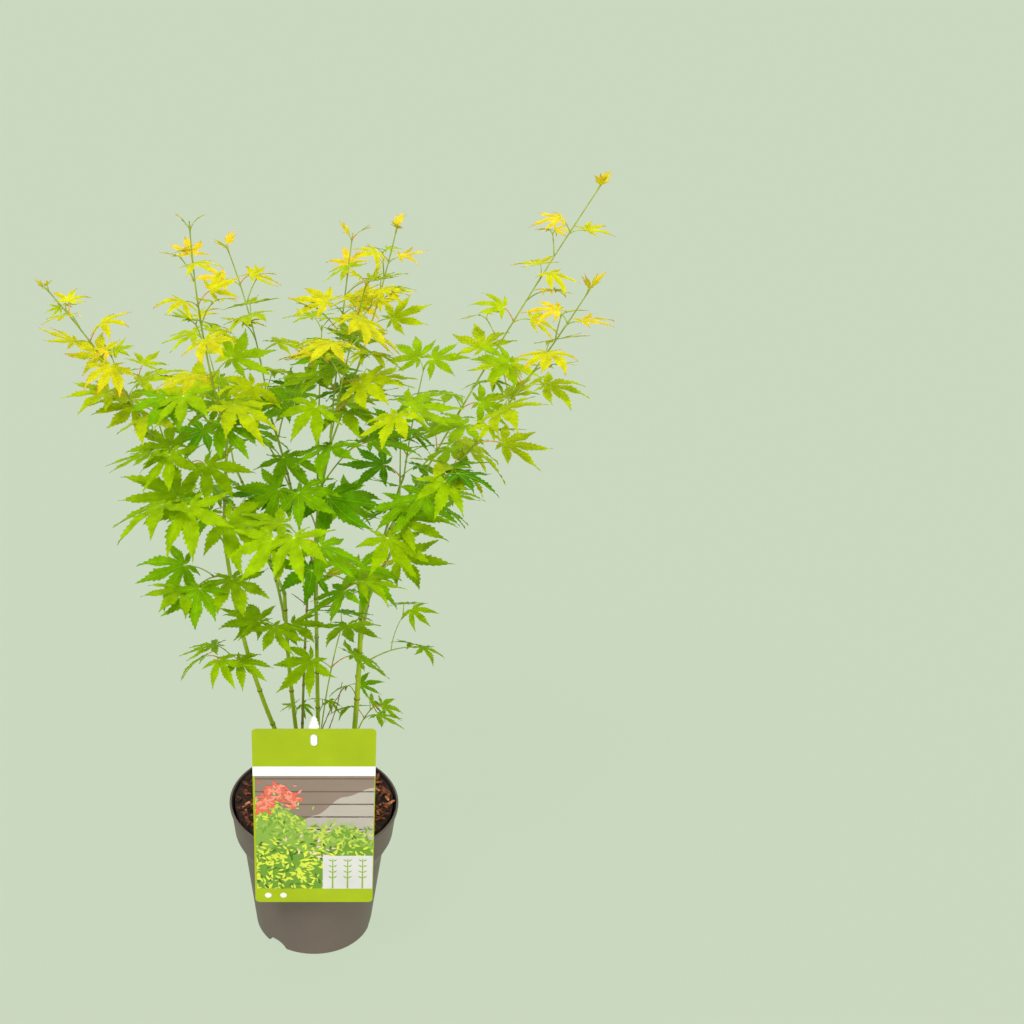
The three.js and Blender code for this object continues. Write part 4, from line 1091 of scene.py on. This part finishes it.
def grow_limbs():
    stems = {}
    for row in LIMB_ROWS + SHOOT_ROWS:
        stems[row["name"]] = Stem(row, stems.get(row["parent"]))
    looks = {kind: stem_look(kind + "_bark", *colours) for kind, colours in LIMB_COLOURS.items()}
    scars = Bag()
    for row in LIMB_ROWS:
        name = row["name"]
        stem = stems[name]
        slot = "cane" if name.startswith("cane") else "bough"
        look = looks["slim" if "slim" in name else slot]
        sunk = stem.parent.radius(row["at"]) * SUNK_SHARE + GAP if stem.parent else SOIL_ROUGHNESS * 2
        bag = Bag(bark_tube(stem, LIMB_SIDES[slot], sunk))
        piece_from(name + "_bark", bag, look, True, [name])
        for share in node_shares(stem):
            scars.add(*node_ring(stem, share, SCAR_WIDTH))
    piece_from("node_scars", scars, stem_look("scar_bark", (96, 62, 28), (146, 104, 44)))
    grow_bare_twigs(stems)
    return stems


def grow_bare_twigs(stems):
    bag = Bag()
    for row in TWIG_ROWS:
        parent = stems[row["parent"]]
        stem = stems[row["name"]] = Stem(row, parent)
        shares = np.linspace(0, 1, max(6, int(stem.length / BARK_STEP)))
        crooks = numbers_from(len(row["name"]) + int(row["length"]))
        points = [stem.point(0) - stem.tangent(0) * (parent.radius(row["at"]) + GAP)]
        points += [stem.point(share) + [crooks(TWIG_CROOK) for _ in "xyz"] for share in shares]
        radii = [stem.radius(0)] + [stem.radius(share) * (1 + crooks(TWIG_UNEVENNESS)) for share in shares]
        bag.add(*tube(points, radii, 7))
    piece_from("bare_twigs", bag, stem_look("dry_bark", (122, 78, 46), (170, 120, 76)))


# Leaves: opposite pairs along each shoot by the source's rule

def pair_shares(row):
    pairs = row["pairs"]
    if pairs == 1:
        return [LAST_PAIR]
    return [row["first"] + (LAST_PAIR - row["first"]) * pair / (pairs - 1) for pair in range(pairs)]


def crown_height(place):
    """How high a place lies in the crown, from 0 to 1."""
    return clamp((place[2] - DROOP_FROM_Z) / CROWN_DEPTH)


def leaf_pairs(stem):
    row = stem.row
    spread = numbers_from(row["seed"])
    side = direction_of(row["heading"] + 90, 0)
    low, high = row["leaf"]
    shares = pair_shares(row)
    leaves = []
    for pair, share in enumerate(shares):
        is_last = pair == len(shares) - 1
        is_youngest = is_last and len(shares) > 3
        full = blend(low, high, share) * LEAF_SCALE * (1 + spread(LENGTH_SPREAD))
        length = full * (YOUNGEST_SHARE if is_youngest else 1)
        node = stem.point(share)
        along = stem.tangent(share)
        above = unit(np.cross(along, side))
        if above[2] < 0:
            above = -above
        steepness = clamp((abs(along[2]) - STEEP_FROM) / STEEP_SPAN)
        twist = radians((pair % 2) * 90 * steepness + spread(TWIST_SPREAD))
        for hand in (1, -1):
            outward = side * (hand * cos(twist)) + above * (hand * sin(twist))
            lean = PETIOLE_LEAN * (LAST_STALK_LEAN if is_last else 1)
            stalk = unit(outward + along * lean + np.array([0, 0, PETIOLE_RISE]))
            stalk_share = (PETIOLE_SHARE + spread(LENGTH_SPREAD)) * (LAST_STALK_SHARE if is_last else 1)
            level = np.array([stalk[0], stalk[1], 0])
            if np.linalg.norm(level) < 0.15:
                level = side * hand
            droop = LOW_DROOP - DROOP_LOST_BY_TOP * crown_height(node)
            if is_youngest:
                droop -= YOUNGEST_LIFT + YOUNGEST_FOLD
            stagger = (-1 if is_last else 1) * STALK_STAGGER * (2 + hand)
            leaves.append(dict(
                root=node + along * stagger,
                length=length,
                level=unit(level),
                centre=node + stalk * (length * stalk_share),
                yaw=spread(YAW_SPREAD),
                droop=droop + spread(DROOP_SPREAD),
                roll=spread(ROLL_SPREAD),
                share=share,
                fan=YOUNGEST_FAN if is_youngest else 1,
            ))
    return leaves


def blade_axes(leaf, turn):
    """The blade's own forward, across and upper directions once turned, drooped and rolled."""
    upright = np.array([0, 0, 1.0])
    level = turned(leaf["level"], upright, leaf["yaw"] + turn)
    droop = radians(leaf["droop"])
    forward = level * cos(droop) - upright * sin(droop)
    across = turned(-np.cross(level, upright), forward, leaf["roll"])
    return forward, across, np.cross(forward, across)


class Room:
    """Remembers where blades lie, so that a new one can turn to where it has most room."""

    def __init__(self):
        self.points = np.empty((0, 3))

    def samples(self, leaf, turn):
        forward, across, normal = blade_axes(leaf, turn)
        spots = []
        for angle, reach in OLD_LOBES[1:-1]:
            way = forward * cos(radians(angle)) + across * sin(radians(angle))
            for share in (0.3, 0.6, 0.9):
                out = share * reach
                spots.append(leaf["centre"] + leaf["length"] * (way * out - normal * 0.15 * out * out))
        return np.array(spots)

    def best_turn(self, leaf):
        best = None
        for turn in LEAF_TURNS:
            spots = self.samples(leaf, turn)
            if len(self.points):
                apart = np.linalg.norm(spots[:, None] - self.points[None], axis=2).min(axis=1)
                crowding = np.clip(LEAF_ROOM - apart, 0, None).sum()
            else:
                crowding = 0
            if best is None or crowding < best[0] - 2:
                best = (crowding, turn, spots)
        self.points = np.concatenate([self.points, best[2]])
        return best[1]


def lobe_stations():
    """Shares along a lobe, and how each edge corner stands out there: teeth after the cleft."""
    inner = [0.004, 0.1, 0.19, LEAF_CLEFT]
    outer = np.linspace(LEAF_CLEFT, 0.965, 2 * TEETH + 2)[1:]
    shares = inner + list(outer) + [1]
    tooth = [0] * len(inner) + [TOOTH_OUT if k % 2 else -TOOTH_IN for k in range(len(outer))] + [0]
    return np.array(shares), np.array(tooth)


STATIONS, TOOTH = lobe_stations()


def half_widths(half_gap, widest):
    """Half the lobe's width at each station: on the line between two lobes up to the cleft,
    then out to the belly and in to a long drawn tip."""
    slope = tan(radians(half_gap))
    at_cleft = min(LEAF_CLEFT * slope, widest)
    x = np.clip((STATIONS - LEAF_CLEFT) / (1 - LEAF_CLEFT), 0, 1)
    rising = at_cleft + (widest - at_cleft) * np.sin(np.pi / 2 * np.clip(x / LOBE_BELLY, 0, 1))
    y = np.clip((x - LOBE_BELLY) / (1 - LOBE_BELLY), 0, 1)
    falling = widest * (1 - y) ** TIP_DRAW * (1 + TIP_DRAW / 2 * y)
    width = np.where(STATIONS <= LEAF_CLEFT, STATIONS * slope, np.where(x < LOBE_BELLY, rising, falling))
    return np.maximum(width, LEAST_HALF_WIDTH)


def blade_shape(leaf, turn, rng, columns):
    """The blade's corners as [lobe, station, column], with its midribs in the middle column."""
    forward, across, normal = blade_axes(leaf, turn)
    is_young = leaf["length"] < YOUNG_LENGTH
    lobes = YOUNG_LOBES if is_young else OLD_LOBES
    widest = LOBE_WIDTH * (YOUNG_NARROWNESS if is_young else 1)
    curl = rng.uniform(*CURLS)
    fold = rng.uniform(*FOLDS)
    grid = np.empty((len(lobes), len(STATIONS), len(columns), 3))
    for index, (angle, reach) in enumerate(lobes):
        before = (angle - lobes[index - 1][0] if index else OUTER_LOBE_GAP) * leaf["fan"]
        after = (lobes[index + 1][0] - angle if index < len(lobes) - 1 else OUTER_LOBE_GAP) * leaf["fan"]
        reach = reach * (1 + rng.uniform(-LOBE_LENGTH_SPREAD, LOBE_LENGTH_SPREAD))
        sway = radians(rng.uniform(-LOBE_SWAY, LOBE_SWAY))
        dip = rng.uniform(*DIPS)
        wave = rng.uniform(0, 6)
        right = half_widths(before / 2, widest)
        left = half_widths(after / 2, widest)
        out = STATIONS * reach
        bent = radians(angle * leaf["fan"]) + sway * STATIONS**2
        beyond = np.clip(out - LEAF_CLEFT, 0, None)
        drop = np.where(out > 0, (1 - np.cos(curl * out)) / curl, 0) + dip * beyond**2
        flat = np.sin(curl * out) / curl
        for place, column in enumerate(columns):
            width = (right if column < 0 else left) * reach
            edge = abs(column)
            stands = 1 + TOOTH * (edge > 0.9) * rng.uniform(0.4, 1.5, len(TOOTH))
            aside = np.sign(column) * edge * width * stands
            ahead = np.where((TOOTH > 0) & (edge > 0.9), TOOTH_AHEAD, 0) * reach
            x = (flat + ahead) * np.cos(bent) - aside * np.sin(bent)
            y = (flat + ahead) * np.sin(bent) + aside * np.cos(bent)
            ripple = RIPPLE * edge * np.sin(STATIONS * 16 + wave + 2 * column)
            z = fold * np.abs(aside) - drop + ripple * (STATIONS > LEAF_CLEFT)
            spots = x[:, None] * forward + y[:, None] * across + z[:, None] * normal
            grid[index, :, place] = leaf["centre"] + spots * leaf["length"]
    return grid, normal


def strip_faces(columns, wanted, first, last):
    """Quads of a grid between two of its rows, in the wanted spans between its columns."""
    return [
        (low, low + columns, low + columns + 1, low + 1)
        for row in range(first, last)
        for low in (row * columns + span for span in wanted)
    ]


def unit_rows(rows):
    return rows / np.maximum(np.linalg.norm(rows, axis=1), 1e-9)[:, None]


class Foliage:
    """Joined meshes of the whole crown: blades by tone, and the finer pieces by name."""

    def __init__(self):
        self.blades = [Bag() for _ in LEAF_TONES]
        self.fine = {name: Bag() for name, *_ in FINE_PIECES}
        self.room = Room()
        self.rng = np.random.default_rng(20)

    def add_leaf(self, leaf, tone, is_red):
        turn = self.room.best_turn(leaf)
        spread = blend(LOW_TONE_SPREAD, TOP_TONE_SPREAD, crown_height(leaf["centre"]))
        tone += self.rng.normal(0, spread)
        limit = len(LEAF_TONES) - 1
        if leaf["centre"][2] < GOLD_FROM_Z:
            limit = MIDDLE_TONE_LIMIT
        if leaf["centre"][2] < LIME_FROM_Z:
            limit = LOW_TONE_LIMIT
        step = int(clamp(round(tone), 0, limit))
        is_edged = step >= EDGED_TONE
        grid, normal = blade_shape(leaf, turn, self.rng, EDGED_COLUMNS if is_edged else PLAIN_COLUMNS)
        last = len(STATIONS) - 1
        for lobe in grid:
            corners = lobe.reshape(-1, 3)
            if is_edged:
                edged_from = last - int(self.rng.integers(*MARGIN_STATIONS))
                inside = strip_faces(5, [1, 2], 0, last) + strip_faces(5, [0, 3], 0, edged_from)
                self.fine["leaf_margins"].add(corners, strip_faces(5, [0, 3], edged_from, last))
            else:
                inside = strip_faces(5, [0, 1, 2, 3], 0, last)
            self.blades[step].add(corners, inside)
            self.add_vein(lobe[:, 2], lobe[:, 1], normal, leaf["length"])
            self.add_side_veins(lobe, normal, leaf["length"])
        self.add_hub(leaf, normal)
        self.add_stalk(leaf, grid[0, 0, 2], normal, is_red)

    def add_hub(self, leaf, normal):
        """The pale spot where the midribs meet over the petiole."""
        middle = leaf["centre"] + normal * 0.35
        first = unit(np.cross(normal, [0.3, 0.5, 1]))
        second = np.cross(normal, first)
        reach = leaf["length"] * HUB_SHARE
        rim = [
            middle + (first * cos(angle) + second * sin(angle)) * reach - normal * 0.3
            for angle in ring_angles(6)
        ]
        self.fine["leaf_hubs"].add([middle] + rim, [(0, 1 + k, 1 + (k + 1) % 6) for k in range(6)])

    def add_vein(self, middle, aside, normal, length):
        """A low ridge along a midrib, on the upper face."""
        rows = middle[:-2:2]
        reach = unit_rows(aside[:-2:2] - rows) * (np.linspace(*VEIN_WIDTHS, len(rows))[:, None] * length)
        sunk = normal * 0.12
        corners = np.stack([rows - reach - sunk, rows + normal * VEIN_HEIGHT, rows + reach - sunk], axis=1)
        self.fine["leaf_veins"].add(corners.reshape(-1, 3), strip_faces(3, [0, 1], 0, len(rows) - 1))

    def add_side_veins(self, lobe, normal, length):
        """Fine veins that leave the midrib forward, one to each tooth."""
        lift = normal * 0.1
        for station in range(3, len(STATIONS) - 5, 2):
            start = lobe[station, 2] + lift
            ahead = unit(lobe[station + 2, 2] - lobe[station, 2]) * (length * SIDE_VEIN_WIDTH)
            for edge, face in ((0, (0, 1, 2, 3)), (4, (0, 3, 2, 1))):
                end = start + (lobe[station + 2, edge] - lobe[station, 2]) * SIDE_VEIN_LENGTH
                corners = [start - ahead, start + ahead, end + ahead * 0.3, end - ahead * 0.3]
                self.fine["leaf_side_veins"].add(corners, [face])

    def add_stalk(self, leaf, base, normal, is_red):
        """A petiole that arches from its node to the blade's base."""
        root = leaf["root"]
        rise = np.linalg.norm(base - root) * PETIOLE_ARCH
        shares = np.linspace(0, 1, 7)
        under = base - normal * PETIOLE_RADIUS
        points = [root * (1 - s) + under * s + [0, 0, rise * 4 * s * (1 - s)] for s in shares]
        radii = [PETIOLE_RADIUS * (1 - PETIOLE_TAPER * s if s else PETIOLE_FOOT_SWELL) for s in shares]
        self.fine["stalks_red" if is_red else "stalks_green"].add(*tube(points, radii, 6))


def twig_tube(stem, sunk):
    """A green shoot with a swelling at each pair of leaves."""
    shares = np.linspace(0, 1, max(6, int(stem.length / SHOOT_STEP)))
    nodes = pair_shares(stem.row)
    radii = []
    for share in shares:
        swell = sum(exp(-(((share - node) * stem.length / SHOOT_NODE_REACH) ** 2)) for node in nodes)
        radii.append(stem.radius(share) * SHOOT_THICKNESS * (1 + SHOOT_NODE_SWELL * min(swell, 1)))
    points = [stem.point(0) - stem.tangent(0) * sunk] + [stem.point(share) for share in shares]
    return tube(points, [radii[0]] + radii, 8)


def side_twigs(stem):
    """Short side twigs between the lower pairs of a long shoot, as rows in the shoots' own form."""
    row = stem.row
    if row["pairs"] < SIDE_TWIG_PAIRS:
        return []
    shares = pair_shares(row)
    rows = []
    for pair in range(SIDE_TWIG_FROM, len(shares) - 2):
        share = (shares[pair] + shares[pair + 1]) / 2
        length = blend(*row["leaf"], share)
        hand = 1 if (pair + row["seed"]) % 2 else -1
        turn = SIDE_TWIG_SPLAY + SIDE_TWIG_FAN * (pair % 3)
        rows.append(dict(
            at=share,
            heading=row["heading"] + hand * turn,
            slope=clamp(row["slope"] - SIDE_TWIG_FALL, 5, 70),
            length=length * SIDE_TWIG_SHARE,
            bow=2,
            foot=0.9,
            tip=0.6,
            pairs=1,
            leaf=(length * SIDE_LEAF_SHARE, length * SIDE_LEAF_SHARE),
            seed=row["seed"] + 3 * pair + 1,
        ))
    return rows


def grow_foliage(stems):
    foliage = Foliage()
    shoots = foliage.fine["shoots"]

    def grow_twig(row, parent, tone):
        twig = Stem(row, parent)
        shoots.add(*twig_tube(twig, parent.radius(row["at"])))
        for leaf in leaf_pairs(twig):
            foliage.add_leaf(leaf, tone, False)

    for row in SHOOT_ROWS:
        stem = stems[row["name"]]
        shoots.add(*twig_tube(stem, stem.parent.radius(row["at"]) * SUNK_SHARE + GAP))
        for number, leaf in enumerate(leaf_pairs(stem)):
            tone = blend(*row["tones"], leaf["share"] ** TONE_EASE)
            foliage.add_leaf(leaf, tone, number % RED_STALK_EVERY == 0)
        sprigs = [sprig for sprig in SPRIG_ROWS if sprig["parent"] == row["name"]]
        for twig_row in side_twigs(stem) + sprigs:
            grow_twig(twig_row, stem, blend(*row["tones"], twig_row["at"]))
    for row in SPRIG_ROWS:
        if row["parent"].startswith("cane"):
            grow_twig(row, stems[row["parent"]], SPRIG_TONE)
    masses = [row["name"] for row in SHOOT_ROWS]
    for bag, (name, slot, colour) in zip(foliage.blades, LEAF_TONES):
        if bag.count:
            piece_from(name, bag, leaf_look(name + "_skin", colour), True, masses)
    for name, slot, *colours in FINE_PIECES:
        look = leaf_look if len(colours) == 1 else stem_look
        replaced = masses if name == "shoots" else ()
        piece_from(name, foliage.fine[name], look(name + "_skin", *colours), True, replaced)


# Floor, light and camera

def make_floor():
    look = Look("pale_floor", FLOOR_COLOUR, 0.95, 0.0)
    pale = linear(FLOOR_COLOUR)
    matt = FLOOR_SHARE * (1 - FLOOR_GLOW)
    look.shader.inputs["Base Color"].default_value = [value * matt for value in pale[:3]] + [1]
    look.shader.inputs["Emission Color"].default_value = pale
    look.shader.inputs["Emission Strength"].default_value = FLOOR_GLOW
    look.bump(look.noise(2, 2), 0.5, 0.05)
    mesh = bpy.data.meshes.new("floor")
    corners = [(x, y, 0) for x, y in oblong(-FLOOR_REACH, -FLOOR_REACH, FLOOR_REACH, FLOOR_REACH)]
    mesh.from_pydata(corners, [], [(0, 1, 2, 3)])
    mesh.materials.append(look.material)
    floor = add_object("floor", mesh)


def make_lamp(name, heading, height, softness, strength):
    """A broad soft lamp, far off along a heading and as high as an angle, both in degrees."""
    data = bpy.data.lights.new(name, "SUN")
    data.angle = radians(softness)
    data.energy = strength
    data.color = LAMP_COLOUR
    turn = Vector(direction_of(heading, height)).to_track_quat("Z", "Y")
    add_object(name, data).rotation_euler = turn.to_euler()


def make_light():
    world = bpy.data.worlds.new("studio")
    bpy.context.scene.world = world
    world.use_nodes = True
    sky = world.node_tree.nodes["Background"]
    sky.inputs["Color"].default_value = linear(FLOOR_COLOUR)
    sky.inputs["Strength"].default_value = 1.0
    for lamp in LAMPS:
        make_lamp(*lamp)
    bpy.context.scene.view_settings.view_transform = "Standard"


def make_camera():
    data = bpy.data.cameras.new("camera")
    data.sensor_width = SENSOR
    data.lens = FOCAL_PIXELS / PICTURE_SIZE * SENSOR
    data.shift_x = (PICTURE_SIZE / 2 - PRINCIPAL_X) / PICTURE_SIZE
    data.clip_end = 100
    camera = add_object("camera", data)
    camera.location = (0, -CAMERA_BACK * MM, CAMERA_HEIGHT * MM)
    camera.rotation_euler = (radians(90 - CAMERA_PITCH), 0, 0)
    bpy.context.scene.camera = camera


make_camera()
make_floor()
make_light()
make_pot()
make_potting_mix()
make_card()
make_holder()
grow_foliage(grow_limbs())
